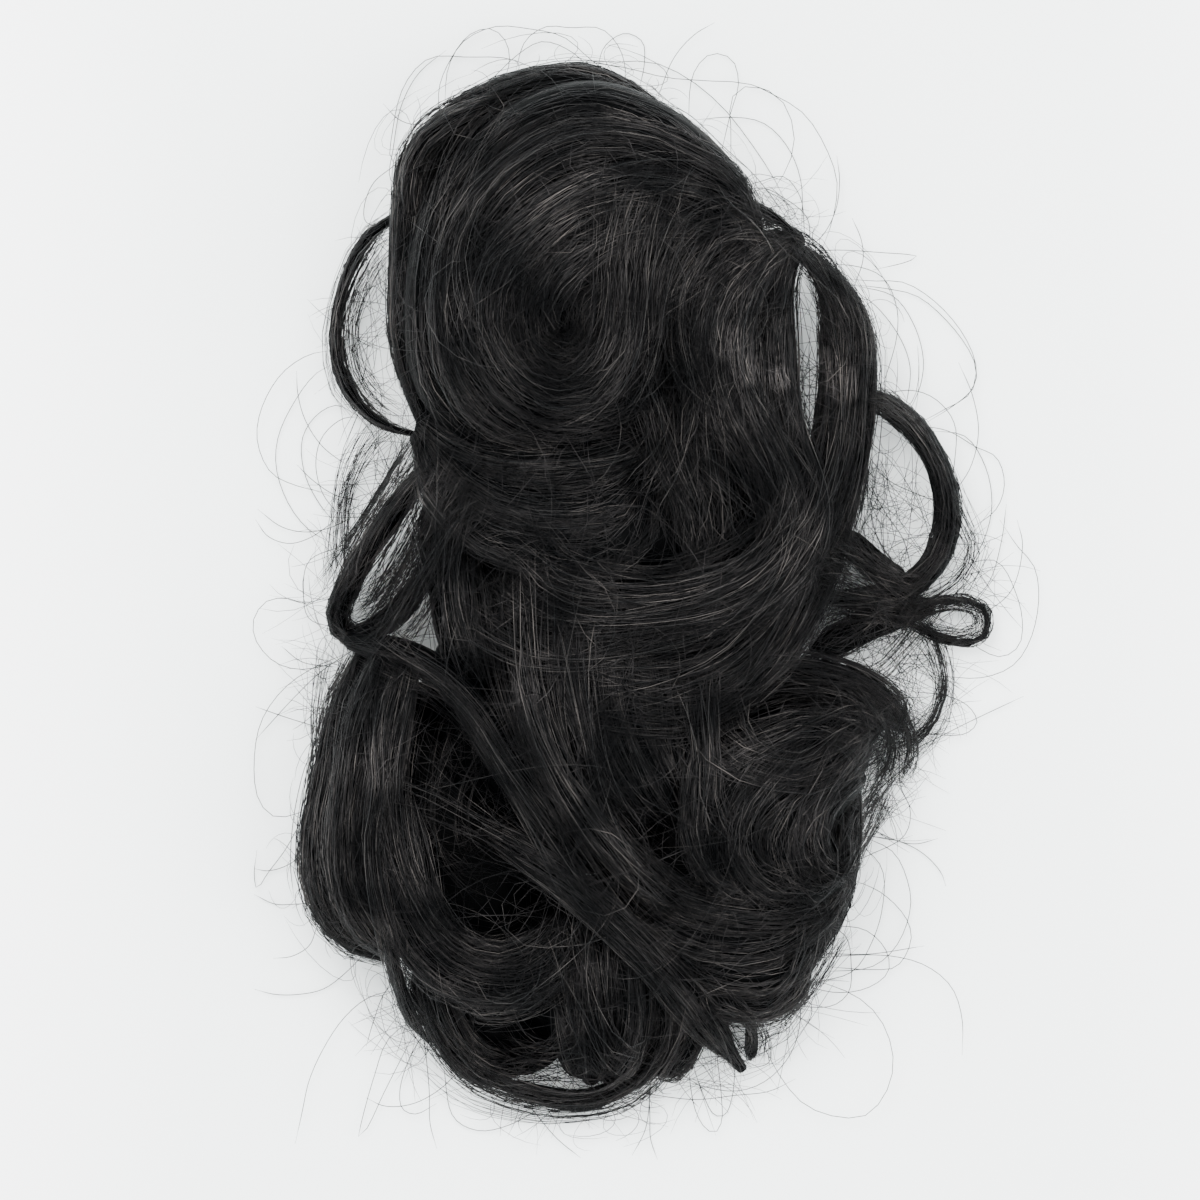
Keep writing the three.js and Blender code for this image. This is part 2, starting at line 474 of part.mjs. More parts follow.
// The origin is the middle of the footprint, on the table.
const box = new THREE.Box3().setFromObject(ponytail);
ponytail.position.set(-(box.min.x + box.max.x) / 2, -(box.min.y + box.max.y) / 2, -box.min.z);

export default ponytail;
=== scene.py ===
# %% [markdown]
# # A claw clip ponytail
# This hairpiece lies on a table: a rounded crown hides the clip, and wavy locks run down from it.
# Hair can be made with a hair system, with flat cards, or with real strands. Strands are used here
# over dark bodies, because the pieces then look right from every side and can be exported as
# meshes.

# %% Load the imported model
import json
import math

import bpy
import numpy as np
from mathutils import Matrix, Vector
from mathutils.bvhtree import BVHTree

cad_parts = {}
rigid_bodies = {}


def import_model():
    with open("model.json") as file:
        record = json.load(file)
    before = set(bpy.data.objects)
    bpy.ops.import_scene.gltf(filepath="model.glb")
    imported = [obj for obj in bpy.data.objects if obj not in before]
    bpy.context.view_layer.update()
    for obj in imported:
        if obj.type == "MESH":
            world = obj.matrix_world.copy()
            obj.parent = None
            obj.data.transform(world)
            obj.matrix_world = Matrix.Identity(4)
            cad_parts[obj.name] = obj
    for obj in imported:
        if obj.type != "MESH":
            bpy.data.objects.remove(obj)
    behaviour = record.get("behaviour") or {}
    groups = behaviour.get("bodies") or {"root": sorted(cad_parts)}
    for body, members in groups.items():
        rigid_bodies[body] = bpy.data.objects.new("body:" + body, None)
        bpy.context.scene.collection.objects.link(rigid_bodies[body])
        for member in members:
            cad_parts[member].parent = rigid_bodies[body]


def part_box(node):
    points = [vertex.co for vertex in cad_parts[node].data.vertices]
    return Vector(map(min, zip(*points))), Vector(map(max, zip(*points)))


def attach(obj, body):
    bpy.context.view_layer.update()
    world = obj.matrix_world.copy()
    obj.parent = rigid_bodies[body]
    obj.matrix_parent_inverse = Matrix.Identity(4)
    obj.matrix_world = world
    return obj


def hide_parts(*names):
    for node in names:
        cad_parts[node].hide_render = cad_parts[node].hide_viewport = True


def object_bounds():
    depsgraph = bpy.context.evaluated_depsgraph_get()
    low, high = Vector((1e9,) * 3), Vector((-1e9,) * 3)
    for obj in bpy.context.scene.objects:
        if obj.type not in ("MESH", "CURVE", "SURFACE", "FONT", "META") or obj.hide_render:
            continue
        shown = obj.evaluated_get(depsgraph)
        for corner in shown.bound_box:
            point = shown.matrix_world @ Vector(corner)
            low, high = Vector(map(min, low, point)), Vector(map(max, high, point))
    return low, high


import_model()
cad_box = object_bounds()
bpy.ops.object.select_all(action="DESELECT")
print("box of the packed model:", [list(corner) for corner in cad_box])

# %% [markdown]
# ## Places
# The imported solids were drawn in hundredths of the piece's width, length and height. The same
# shares are used here, so that each strand lies where its solid lies. The clip's box, whose place
# is known in both, gives the small shift between the two.

# %% Turn shares into metres
PIECE_WIDTH, PIECE_LENGTH, PILE_HEIGHT = 0.197, 0.298, 0.072
SIZE = np.array([PIECE_WIDTH, PIECE_LENGTH, PILE_HEIGHT]) / 100
CLIP_ACROSS, CLIP_ALONG = 38, 80.5

clip_low, clip_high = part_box("claw_clip")
clip_middle = [(clip_low[i] + clip_high[i]) / 2 for i in range(2)]
SHIFT = np.array([
    clip_middle[0] - (CLIP_ACROSS - 50) * SIZE[0],
    clip_middle[1] - (CLIP_ALONG - 50) * SIZE[1],
    0.0,
])


def places(shares):
    """Points in metres, from rows of [across, along, up] in hundredths."""
    return (np.asarray(shares, float) - [50, 50, 0]) * SIZE + SHIFT


print("shift in mm:", (SHIFT * 1000).round(2))

# %% [markdown]
# ## Camera, floor and light
# The photograph looks straight down with little perspective, so a long lens looks down from high
# above. The light is soft from all sides, so the surroundings give most of it, and two large lamps
# add the gentle shine along the top of each lock. At a few crests more sheen is painted into the
# strands' colour.

# %% Camera
VIEW_WIDTH = 0.3417
CAMERA_HEIGHT = 2.6
VIEW_MIDDLE = (-0.01395, -0.00356)

camera_data = bpy.data.cameras.new("camera")
camera_data.sensor_width = 36
camera_data.lens = 36 * (CAMERA_HEIGHT - 0.02) / VIEW_WIDTH
camera_data.clip_end = 20
camera = bpy.data.objects.new("camera", camera_data)
camera.location = (VIEW_MIDDLE[0], VIEW_MIDDLE[1], CAMERA_HEIGHT)
bpy.context.collection.objects.link(camera)
bpy.context.scene.camera = camera
print("lens in mm:", round(camera_data.lens, 1))

# %% Floor, lamps and surroundings
bpy.ops.mesh.primitive_plane_add(size=6, location=(0, 0, 0))
floor = bpy.context.object
floor.name = "floor"


def new_material(name):
    """A material, its node tree and its Principled shader."""
    material = bpy.data.materials.new(name)
    material.use_nodes = True
    return material, material.node_tree, material.node_tree.nodes["Principled BSDF"]


def math_node(tree, operation, *values):
    """The output of a Math node that takes outputs or numbers."""
    node = tree.nodes.new("ShaderNodeMath")
    node.operation = operation
    for socket, value in zip(node.inputs, values):
        if isinstance(value, bpy.types.NodeSocket):
            tree.links.new(value, socket)
        else:
            socket.default_value = value
    return node.outputs[0]


def range_node(tree, value, source=(0, 1), target=(0, 1), kind="LINEAR"):
    """The output of a Map Range node."""
    node = tree.nodes.new("ShaderNodeMapRange")
    node.interpolation_type = kind
    names = ("From Min", "From Max", "To Min", "To Max")
    for name, number in zip(names, (*source, *target)):
        node.inputs[name].default_value = number
    tree.links.new(value, node.inputs["Value"])
    return node.outputs["Result"]


def noise_node(tree, vector, scale, detail=2):
    """The output of a Noise Texture node."""
    node = tree.nodes.new("ShaderNodeTexNoise")
    node.inputs["Scale"].default_value = scale
    node.inputs["Detail"].default_value = detail
    tree.links.new(vector, node.inputs["Vector"])
    return node.outputs["Fac"]


WHITE_FROM, WHITE_TO = 0.13, 0.2

floor_material, nodes_in, shader = new_material("pale_table")
shader.inputs["Roughness"].default_value = 0.8
shader.inputs["Specular IOR Level"].default_value = 0.1
place = nodes_in.nodes.new("ShaderNodeTexCoord")
apart = nodes_in.nodes.new("ShaderNodeSeparateXYZ")
nodes_in.links.new(place.outputs["Object"], apart.inputs[0])
off_middle = math_node(nodes_in, "ABSOLUTE", apart.outputs["X"])
tint = nodes_in.nodes.new("ShaderNodeMix")
tint.data_type = "RGBA"
tint.inputs["A"].default_value = (0.85, 0.885, 0.875, 1)
tint.inputs["B"].default_value = (1, 1, 1, 1)
edge = range_node(nodes_in, off_middle, (WHITE_FROM, WHITE_TO))
nodes_in.links.new(edge, tint.inputs["Factor"])
nodes_in.links.new(tint.outputs["Result"], shader.inputs["Base Color"])
floor.data.materials.append(floor_material)

world = bpy.data.worlds.new("studio")
world.use_nodes = True
world.node_tree.nodes["Background"].inputs["Color"].default_value = (0.97, 0.985, 1, 1)
world.node_tree.nodes["Background"].inputs["Strength"].default_value = 3.9
bpy.context.scene.world = world


def add_lamp(name, place_at, target, size, power):
    """A large square lamp that faces a target."""
    lamp = bpy.data.lights.new(name, "AREA")
    lamp.size = size
    lamp.energy = power
    lamp_object = bpy.data.objects.new(name, lamp)
    lamp_object.location = place_at
    direction = Vector(target) - Vector(place_at)
    lamp_object.rotation_euler = direction.to_track_quat("-Z", "Y").to_euler()
    bpy.context.collection.objects.link(lamp_object)
    return lamp_object


add_lamp("upper_lamp", (-0.5, 0.9, 1.6), (0, 0, 0), 1.2, 80)
add_lamp("side_lamp", (1.1, -0.3, 1.2), (0, 0, 0), 0.9, 26)

# %% [markdown]
# ## Finishes
# Synthetic black hair is almost without colour of its own. What shows is the soft reflection of
# the room along each fibre, a little brown or blue in some of them, and black gaps between locks.
# One node group gives each strand its own tone, and paints sheen into the colour at a few listed
# spots where locks crest. It reads the strand's map: across it is a number that differs from
# strand to strand, and along it runs from root to tip.

# %% A node group that tones the strands and paints sheen spots
def add_socket(tree, name, kind, way, value=None):
    """A named input or output of a node group."""
    socket = tree.interface.new_socket(name=name, in_out=way, socket_type=kind)
    if value is not None:
        socket.default_value = value
    return socket


TONES_ACROSS, TONES_ALONG, PATCH_SCALE = 900, 5, 48


def tone_and_painted_sheen_group():
    """Colour and roughness that change by strand and a little along each, plus painted sheen."""
    tree = bpy.data.node_groups.new("tone_and_painted_sheen", "ShaderNodeTree")
    add_socket(tree, "Deep", "NodeSocketColor", "INPUT", (0.004, 0.004, 0.005, 1))
    add_socket(tree, "Light", "NodeSocketColor", "INPUT", (0.03, 0.027, 0.026, 1))
    add_socket(tree, "Share of light", "NodeSocketFloat", "INPUT", 0.3)
    add_socket(tree, "Color", "NodeSocketColor", "OUTPUT")
    add_socket(tree, "Roughness", "NodeSocketFloat", "OUTPUT")
    new, link = tree.nodes.new, tree.links.new
    start, end = new("NodeGroupInput"), new("NodeGroupOutput")
    parts, stretch = new("ShaderNodeSeparateXYZ"), new("ShaderNodeCombineXYZ")
    link(new("ShaderNodeUVMap").outputs["UV"], parts.inputs[0])
    link(math_node(tree, "MULTIPLY", parts.outputs["X"], TONES_ACROSS), stretch.inputs["X"])
    link(math_node(tree, "MULTIPLY", parts.outputs["Y"], TONES_ALONG), stretch.inputs["Y"])
    fine = noise_node(tree, stretch.outputs[0], 1)
    spread = range_node(tree, fine, (0.38, 0.72), kind="SMOOTHSTEP")
    place = new("ShaderNodeTexCoord").outputs["Object"]
    broad = noise_node(tree, place, PATCH_SCALE, 1)
    patch = range_node(tree, broad, (0.35, 0.65), (0.25, 1.45))
    lit = math_node(tree, "MULTIPLY", spread, patch)
    total = math_node(tree, "MULTIPLY", lit, start.outputs["Share of light"])
    split, flat = new("ShaderNodeSeparateXYZ"), new("ShaderNodeCombineXYZ")
    link(place, split.inputs[0])
    link(split.outputs["X"], flat.inputs["X"])
    link(split.outputs["Y"], flat.inputs["Y"])
    # Each spot paints sheen into the colour, fading out at its radius, in streaks that follow the
    # fine noise.
    for (x, y, _), radius, strength in PAINTED_SHINE:
        apart = new("ShaderNodeVectorMath")
        apart.operation = "DISTANCE"
        apart.inputs[1].default_value = (x, y, 0)
        link(flat.outputs[0], apart.inputs[0])
        near = range_node(tree, apart.outputs["Value"], (radius, 0.4 * radius), (0, strength),
                          "SMOOTHSTEP")
        total = math_node(tree, "MULTIPLY_ADD", near, spread, total)
    mix = new("ShaderNodeMix")
    mix.data_type = "RGBA"
    mix.clamp_factor = False
    link(total, mix.inputs["Factor"])
    link(start.outputs["Deep"], mix.inputs["A"])
    link(start.outputs["Light"], mix.inputs["B"])
    link(mix.outputs["Result"], end.inputs["Color"])
    link(range_node(tree, fine, target=(0.3, 0.48)), end.inputs["Roughness"])
    return tree


# Painted sheen: spots (across, along, radius in mm, strength) where the strands' colour is lightened
# towards their lighter tone, standing in for the highlight on the crests of the locks.
PAINTED_SHINE = [(places([[u, v, 0]])[0], radius / 1000, strength) for u, v, radius, strength in (
    [62, 73.5, 7, 2], [64.2, 71, 6, 2], [69, 70.3, 5, 2.6], [76, 72, 5, 2], [78.4, 70, 7, 2.3],
    [68.2, 81.7, 9, 0.8], [33.5, 42, 12, 0.8], [36, 58, 16, 0.15], [44, 14, 10, 0.8],
    [12, 34, 11, 0.8], [41, 84, 24, 0.5], [43, 60, 14, 0.2], [62, 34, 11, 0.6],
    [44, 25, 11, 0.5], [30, 19, 9, 0.5])]
TONE_AND_PAINTED_SHEEN = tone_and_painted_sheen_group()


def hair_material(name, deep, light, share, specular, bump=0.0):
    """Black fibre. Bump gives a body fine grooves along its map, where strands lie over it."""
    material, tree, shader = new_material(name)
    tone = tree.nodes.new("ShaderNodeGroup")
    tone.node_tree = TONE_AND_PAINTED_SHEEN
    tone.inputs["Deep"].default_value = (*deep, 1)
    tone.inputs["Light"].default_value = (*light, 1)
    tone.inputs["Share of light"].default_value = share
    tree.links.new(tone.outputs["Color"], shader.inputs["Base Color"])
    tree.links.new(tone.outputs["Roughness"], shader.inputs["Roughness"])
    shader.inputs["Specular IOR Level"].default_value = specular
    if bump:
        relief = tree.nodes.new("ShaderNodeBump")
        relief.inputs["Strength"].default_value = bump
        relief.inputs["Distance"].default_value = 0.0004
        tree.links.new(tone.outputs["Roughness"], relief.inputs["Height"])
        tree.links.new(relief.outputs["Normal"], shader.inputs["Normal"])
    return material


BODY_HAIR = hair_material("hair_body", (0.0003, 0.0004, 0.0005), (0.0015, 0.0015, 0.0015),
                          0.5, 0.012, 0.5)
BLACK_HAIR = hair_material("hair_black", (0.0004, 0.0006, 0.0009), (0.0255, 0.0238, 0.0236),
                           0.85, 0.055)
SOFT_HAIR = hair_material("hair_soft", (0.006, 0.0066, 0.007), (0.062, 0.056, 0.052), 0.95, 0.12)
print("finishes:", [m.name for m in (BODY_HAIR, BLACK_HAIR, SOFT_HAIR)])

# %% Moulded plastic for the clip
clip_plastic, nodes_in, shader = new_material("clip_plastic")
place = nodes_in.nodes.new("ShaderNodeTexCoord")
grain = noise_node(nodes_in, place.outputs["Object"], 320)
gloss = range_node(nodes_in, grain, target=(0.28, 0.42))
nodes_in.links.new(gloss, shader.inputs["Roughness"])
shader.inputs["Base Color"].default_value = (0.006, 0.006, 0.007, 1)
shader.inputs["Specular IOR Level"].default_value = 0.35
for piece in bpy.context.scene.objects:
    if piece.type == "MESH" and piece.name.startswith("claw_clip"):
        piece.data.materials.clear()
        piece.data.materials.append(clip_plastic)
        print("plastic on", piece.name)

# %% [markdown]
# ## Smooth paths
# A path bends smoothly through its points. Blender's own curves do this when they are drawn by
# hand, but strands need the same path again and again with its direction at each place, so it is
# worked out here once as evenly spaced points.

# %% Walk along a path
def smooth_path(points, steps=96):
    """Evenly spaced points on a smooth line through the given ones."""
    p = np.asarray(points, float)
    p = np.vstack([2 * p[0] - p[1], p, 2 * p[-1] - p[-2]])
    knots = np.concatenate([[0], np.cumsum(np.linalg.norm(np.diff(p, axis=0), axis=1) ** 0.5)])
    line = []
    for i in range(1, len(p) - 2):
        a, b, c, d = p[i - 1:i + 3]
        ta, tb, tc, td = knots[i - 1:i + 3]
        t = np.linspace(tb, tc, 24, endpoint=False)[:, None]
        ab = (tb - t) / (tb - ta) * a + (t - ta) / (tb - ta) * b
        bc = (tc - t) / (tc - tb) * b + (t - tb) / (tc - tb) * c
        cd = (td - t) / (td - tc) * c + (t - tc) / (td - tc) * d
        abc = (tc - t) / (tc - ta) * ab + (t - ta) / (tc - ta) * bc
        bcd = (td - t) / (td - tb) * bc + (t - tb) / (td - tb) * cd
        line.append((tc - t) / (tc - tb) * abc + (t - tb) / (tc - tb) * bcd)
    line = np.vstack([*line, p[-2:-1]])
    run = np.concatenate([[0], np.cumsum(np.linalg.norm(np.diff(line, axis=0), axis=1))])
    at = np.linspace(0, run[-1], steps)
    return np.stack([np.interp(at, run, line[:, k]) for k in range(3)], axis=1), run[-1]


trial, trial_length = smooth_path([[0, 0, 0], [0, 1, 0], [1, 1, 0]])
print("points on a trial path:", len(trial), "length:", round(trial_length, 2))

# %% [markdown]
# ## The locks
# Each row is one lock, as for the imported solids: a path in hundredths of the piece's width, length
# and height, with the lock's width and thickness. A row may add how full its dark core is, how
# thick its ends are and which share of its strands lies on its sides. A lock could be drawn strand
# by strand, but a stylist thinks in locks, and a table of locks is easy to change.

# %% The table of locks
def lock(bunch, width, thick, path, core=1, ends=(0.6, 0.5), sides=None):
    """One lock with its smooth line."""
    line, length = smooth_path(places(path))
    return dict(bunch=bunch, width=width, thick=thick, core=core, ends=ends, sides=sides,
                line=line, length=length)


LOCKS = [
    lock("crown_hair", 5, 26, [[63.5, 82.5, 14], [61.5, 87, 14], [56, 91, 14], [48.5, 95.5, 14],
        [40, 98.2, 14], [30.5, 97.3, 14], [22.3, 94.2, 14], [17, 90.3, 14], [16.3, 85.5, 14],
        [16, 79, 14], [16, 73, 14], [18, 68, 14], [21, 64, 14]], sides=0.85),
    lock("crown_hair", 5.5, 34, [[64, 81.5, 28], [62.3, 87, 36], [56.5, 91.3, 38], [49, 95.8, 38],
        [40.5, 98.6, 38], [31, 97.6, 38], [22.5, 94.6, 38], [17.2, 90.6, 38], [16.2, 86, 38],
        [15.6, 80, 37], [15.6, 74, 36], [17, 68.5, 34], [19.5, 64.5, 32]], sides=0.85),
    lock("crown_hair", 8, 34, [[65, 80.5, 34], [62.3, 87, 46], [57, 91, 56], [50, 94.3, 60],
        [42, 96, 61], [34, 94.5, 61], [27, 91, 60], [22, 86.5, 58], [19.5, 81, 56], [19, 75, 54],
        [20.5, 69.5, 50], [25, 65.5, 50], [32, 63, 52]]),
    lock("crown_hair", 8.5, 30, [[65.5, 80, 34], [61.5, 86.8, 50], [55, 89.5, 64], [48, 91.3, 72],
        [40, 91.3, 75], [32, 88.3, 76], [26.5, 84, 75], [24, 78.5, 72], [24.5, 72.5, 68],
        [28, 68, 64], [34, 65.5, 62], [42, 65, 60]]),
    lock("crown_hair", 8.5, 28, [[65, 80.5, 34], [60.5, 86.2, 52], [53, 87.8, 68], [46, 88, 80],
        [39, 86.5, 85], [32.5, 83, 86], [28.5, 79, 84], [27.5, 75, 80], [29.5, 71, 76],
        [34, 68.3, 72], [40, 67.3, 70], [46, 67.5, 68], [51, 69.5, 64]]),
    lock("crown_hair", 8, 26, [[65, 80, 34], [59.5, 84.8, 52], [52, 85.4, 68], [45, 84.3, 80],
        [38.5, 81.5, 85], [34.3, 78.3, 84], [33, 75, 80], [34.5, 72, 76], [38.5, 70.2, 74],
        [43.5, 70, 72], [48.5, 71.5, 68]]),
    lock("crown_hair", 7, 22, [[63, 80.5, 36], [57, 83.3, 54], [50, 82.5, 66], [44, 80, 74],
        [40, 77, 76], [39.5, 74.5, 74], [42, 73, 72], [46, 73.5, 70], [50, 75.5, 66]]),
    lock("crown_hair", 8, 24, [[60, 82, 50], [54, 79.5, 62], [48, 76.5, 70], [45, 73, 70],
        [45, 69.5, 66], [47, 66, 60]]),
    lock("crown_hair", 4.5, 40, [[31, 97, 42], [23, 95, 42], [17.8, 92.3, 40], [16.3, 89.3, 38],
        [16.5, 86, 36], [17.5, 82, 36]]),
    lock("tail_hair", 9, 24, [[18, 66.5, 38], [24, 64.3, 44], [31, 63.2, 50], [39, 63.2, 52],
        [46, 64, 50], [52, 66, 48]]),
    lock("tail_hair", 9, 24, [[18, 65.3, 36], [23, 61, 46], [30, 58, 54], [38, 57.3, 56],
        [45, 58, 54], [49.5, 61, 50]]),
    lock("tail_hair", 8, 24, [[18.3, 64.5, 36], [22, 60, 46], [28, 56, 53], [36, 54.3, 55],
        [44, 54.5, 53], [48.5, 57, 51], [50, 61, 49]]),
    lock("tail_hair", 6, 22, [[18.5, 63.8, 36], [23, 58.5, 45], [28.5, 55, 50], [35, 52.7, 51],
        [43, 51.3, 50], [52, 50.8, 49]]),
    lock("tail_hair", 8, 24, [[20, 60, 30], [21.5, 55, 36], [22.5, 50, 40], [24, 45, 44],
        [27, 41, 46]]),
    lock("tail_hair", 8, 24, [[28, 53, 40], [33, 50, 42], [40, 47.5, 44], [48, 46, 44],
        [56, 45.5, 44]]),
    lock("tail_hair", 8, 20, [[52, 66, 50], [55, 61, 46], [57, 56, 44], [58, 51, 44]]),
    lock("tail_hair", 7, 20, [[40, 54, 36], [39, 47.5, 44], [39.5, 42, 50], [41.5, 37, 53],
        [45, 32, 54], [50, 28, 50]]),
    lock("tail_hair", 6, 20, [[46, 53, 36], [45.5, 46, 44], [46.5, 40, 50], [48.7, 35.3, 51],
        [52, 31, 50], [55.5, 27.5, 46]]),
    lock("tail_hair", 6, 20, [[52.5, 52, 34], [51.5, 45, 42], [52.5, 39, 46], [54, 34, 46],
        [56, 29.5, 44]]),
    lock("tail_hair", 7, 38, [[10.5, 45, 22], [7.8, 39, 22], [5.2, 32, 22], [3.9, 27, 22],
        [4, 22, 22], [6.5, 18.5, 22], [10, 16.4, 22], [14, 15.5, 22]], sides=0.6),
    lock("tail_hair", 6, 32, [[12.5, 44.5, 36], [9.5, 37, 38], [7, 30, 38], [6.5, 25, 38],
        [7.5, 20.5, 36], [10.5, 17, 34], [14, 15.5, 32]]),
    lock("tail_hair", 6, 28, [[16, 44, 42], [13, 36.5, 46], [11.3, 29, 47], [11.2, 24, 45],
        [12.5, 19, 42], [14.5, 16, 38]]),
    lock("tail_hair", 8, 24, [[83, 38, 26], [78, 36.3, 38], [71, 34.2, 48], [64.5, 32.3, 52],
        [60.5, 29.5, 52], [59.3, 26, 50], [61.5, 23.2, 46], [66, 21.9, 42]]),
    lock("tail_hair", 5, 24, [[58, 36.5, 50], [57.3, 31, 52], [57.5, 26.5, 50], [60, 23.3, 46],
        [64.5, 21.6, 42], [69, 21.5, 38]]),
    lock("tail_hair", 6, 24, [[80, 36, 38], [73, 33, 50], [67, 30.5, 57], [63.8, 27.5, 58],
        [64.5, 24.5, 54], [68, 22.2, 48], [72, 21.5, 42]]),
    lock("tail_hair", 6, 24, [[80, 34.5, 36], [75, 32, 48], [70.5, 29, 56], [69, 26, 56],
        [70.5, 23.3, 50], [74, 21.9, 44], [78, 22.9, 38]]),
    lock("tail_hair", 5, 24, [[80, 32, 30], [77, 30.5, 42], [74.3, 27.8, 48], [74.3, 25.2, 46],
        [76.8, 23.6, 40], [79, 24.8, 34]]),
    lock("tail_hair", 5, 34, [[78, 35.5, 26], [78.3, 31, 26], [78.5, 27, 26], [78, 23.5, 26],
        [75.5, 20.3, 26], [72, 18, 26]], sides=0.7),
    lock("tail_hair", 6, 24, [[47, 25.5, 44], [52, 22, 44], [58.5, 20, 42], [66, 19.3, 38],
        [73, 20, 34], [78, 22.6, 30]]),
    lock("tail_hair", 6, 24, [[49, 20.5, 40], [56, 17.6, 38], [63, 16.6, 36], [70, 17.4, 32],
        [75, 19.8, 28], [78, 23.5, 26]]),
    lock("tail_hair", 5, 24, [[52, 16.6, 34], [59, 14.2, 32], [65, 13.4, 30], [70, 14.2, 26],
        [73.5, 16.5, 20]]),
    lock("tail_hair", 5, 24, [[55, 12.8, 30], [60.5, 11, 26], [66, 10.6, 22], [70.5, 11.8, 18],
        [73, 14, 14]]),
    lock("tail_hair", 5, 24, [[58, 10.5, 12], [64, 11, 12], [70, 13, 12], [73.5, 16, 12],
        [76.5, 19.5, 12], [78.3, 24, 12], [78.5, 30, 12], [77.5, 35, 12]], sides=0.7),
    lock("tail_hair", 1.6, 7, [[64.5, 10.5, 10], [65.4, 7.7, 7], [65.2, 5, 4]], ends=(0.8, 0.3)),
    lock("tail_hair", 7, 24, [[18.5, 15.5, 26], [20.3, 10.5, 22], [22.8, 7, 17], [26.5, 4.8, 12],
        [31, 4.4, 10]]),
    lock("tail_hair", 4.5, 20, [[36, 12.5, 32], [37.8, 8.5, 26], [39.5, 5.3, 18], [41, 4, 12]]),
    lock("tail_hair", 6, 22, [[41.5, 19, 40], [42, 14, 38], [42.3, 9, 30], [42.3, 5.5, 19],
        [42, 3.6, 11]]),
    lock("tail_hair", 5.5, 22, [[46, 18.5, 40], [47.6, 13, 37], [47.8, 8.5, 28], [46.3, 5.3, 18],
        [44, 3.8, 11]]),
    lock("tail_hair", 5, 16, [[57, 10.5, 22], [56, 7.5, 15], [53.5, 5, 10], [51, 4.2, 8]]),
    lock("tail_hair", 5, 20, [[50, 16, 28], [52.5, 11, 22], [52, 7, 14], [49, 4.5, 10]]),
    lock("tip_lock", 5.5, 18, [[26, 27.7, 38], [31, 26, 48], [36, 23.8, 56], [41, 21.2, 59],
        [46, 18.2, 55], [51, 14.8, 46], [55, 11.8, 34], [59, 8.6, 23], [62, 6, 12],
        [64, 4.2, 7]], ends=(0.5, 0.3)),
    lock("upper_diagonal", 4.5, 18, [[7.5, 45.3, 26], [13, 44.6, 38], [18.5, 43.2, 46],
        [23, 41, 50], [26.5, 37.8, 52], [30, 34, 54], [34, 30, 55], [38, 26.8, 55],
        [42, 24.2, 55]]),
    lock("centre_diagonal", 5, 18, [[32.5, 45, 50], [32.8, 41.5, 54], [34.2, 37.3, 57],
        [37.4, 32.6, 59], [41, 28.9, 60], [45.5, 25.6, 58], [51, 22, 54], [57, 20, 46]]),
    lock("bowl_curl", 9, 24, [[13.5, 31, 50], [14.5, 25, 50], [16.3, 19.8, 47], [20, 15.8, 44],
        [26, 13.6, 42], [32, 13.8, 42], [37, 16.3, 43], [39.3, 20, 44]]),
    lock("top_strand", 1.8, 6, [[46, 87.5, 94], [53, 88.2, 82], [60, 87.6, 66], [65, 86.7, 50],
        [69, 85.4, 42], [71.8, 83.9, 38]]),
    lock("front_lock", 7, 22, [[71.3, 83.6, 30], [67, 82, 42], [63, 78, 54], [61.5, 73, 60],
        [62.5, 69, 60], [65.5, 64.5, 58], [68.5, 60, 56], [70, 56.3, 55], [68.5, 53, 55],
        [63, 50.7, 56], [55, 49.9, 56], [46, 50.2, 56]]),
    lock("front_lock", 5, 22, [[71.6, 83.3, 28], [69.8, 80, 36], [69, 76, 44], [69, 71, 46],
        [69.7, 67, 46], [71.5, 63, 47], [73.3, 59, 48], [73.6, 55.5, 50], [71.2, 51.8, 52],
        [66, 49, 54], [60, 47.8, 54], [52, 47.6, 52], [44, 47.6, 50], [36, 47, 48]]),
    lock("front_lock", 7, 22, [[69, 83.4, 32], [62.5, 81.7, 46], [58, 78, 56], [57, 74, 58],
        [58.8, 70, 57], [61.5, 66, 55], [64.5, 62.5, 54]]),
    lock("front_lock", 5.5, 12, [[70.5, 82.5, 30], [67.4, 79.6, 38], [66.3, 76, 44],
        [66.3, 72, 48], [67.4, 68, 50], [69.5, 63.5, 52]]),
    lock("fall_lock", 8.8, 24, [[72.4, 82.6, 22], [75, 81, 22], [78.2, 77.5, 21], [79.3, 72, 20],
        [78.8, 66, 21], [77.2, 60.5, 24], [75.2, 55.5, 29], [72, 50, 35], [68, 45.5, 40],
        [62, 42.3, 45], [55, 41, 47], [47, 41.3, 47]], ends=(0.3, 0.5)),
    lock("left_loop", 2, 12, [[16, 86.8, 30], [10.8, 84.5, 24], [6.9, 80.5, 18], [5, 75.5, 14],
        [5.7, 71.3, 12], [8.7, 67.8, 14], [12.7, 65.8, 20], [17.5, 65, 27]], core=0.8),
    lock("left_fold", 3.4, 14, [[19, 62.7, 32], [14, 58.2, 26], [10, 54.4, 20], [6.6, 50.4, 15],
        [5, 47.6, 11], [6.8, 45.7, 11], [11.4, 46.8, 18], [16.5, 50, 26], [21, 53.8, 34]]),
    lock("hook_curl", 6, 17, [[68, 42.3, 26], [72, 42.3, 26], [77, 41.9, 25], [82, 40.6, 22],
        [85.4, 38.6, 18], [87.2, 36.6, 14]], core=0.75, ends=(0.7, 0.12)),
    lock("right_loop", 3.6, 14, [[79, 68.3, 12], [82.5, 68.7, 12], [86.5, 67.4, 12],
        [90.3, 64.8, 12], [93, 61.3, 12], [93.9, 57.5, 12], [92.6, 53.6, 12], [89.3, 51, 13],
        [85, 49.7, 14], [80, 49.3, 16], [75.5, 49.5, 18]]),
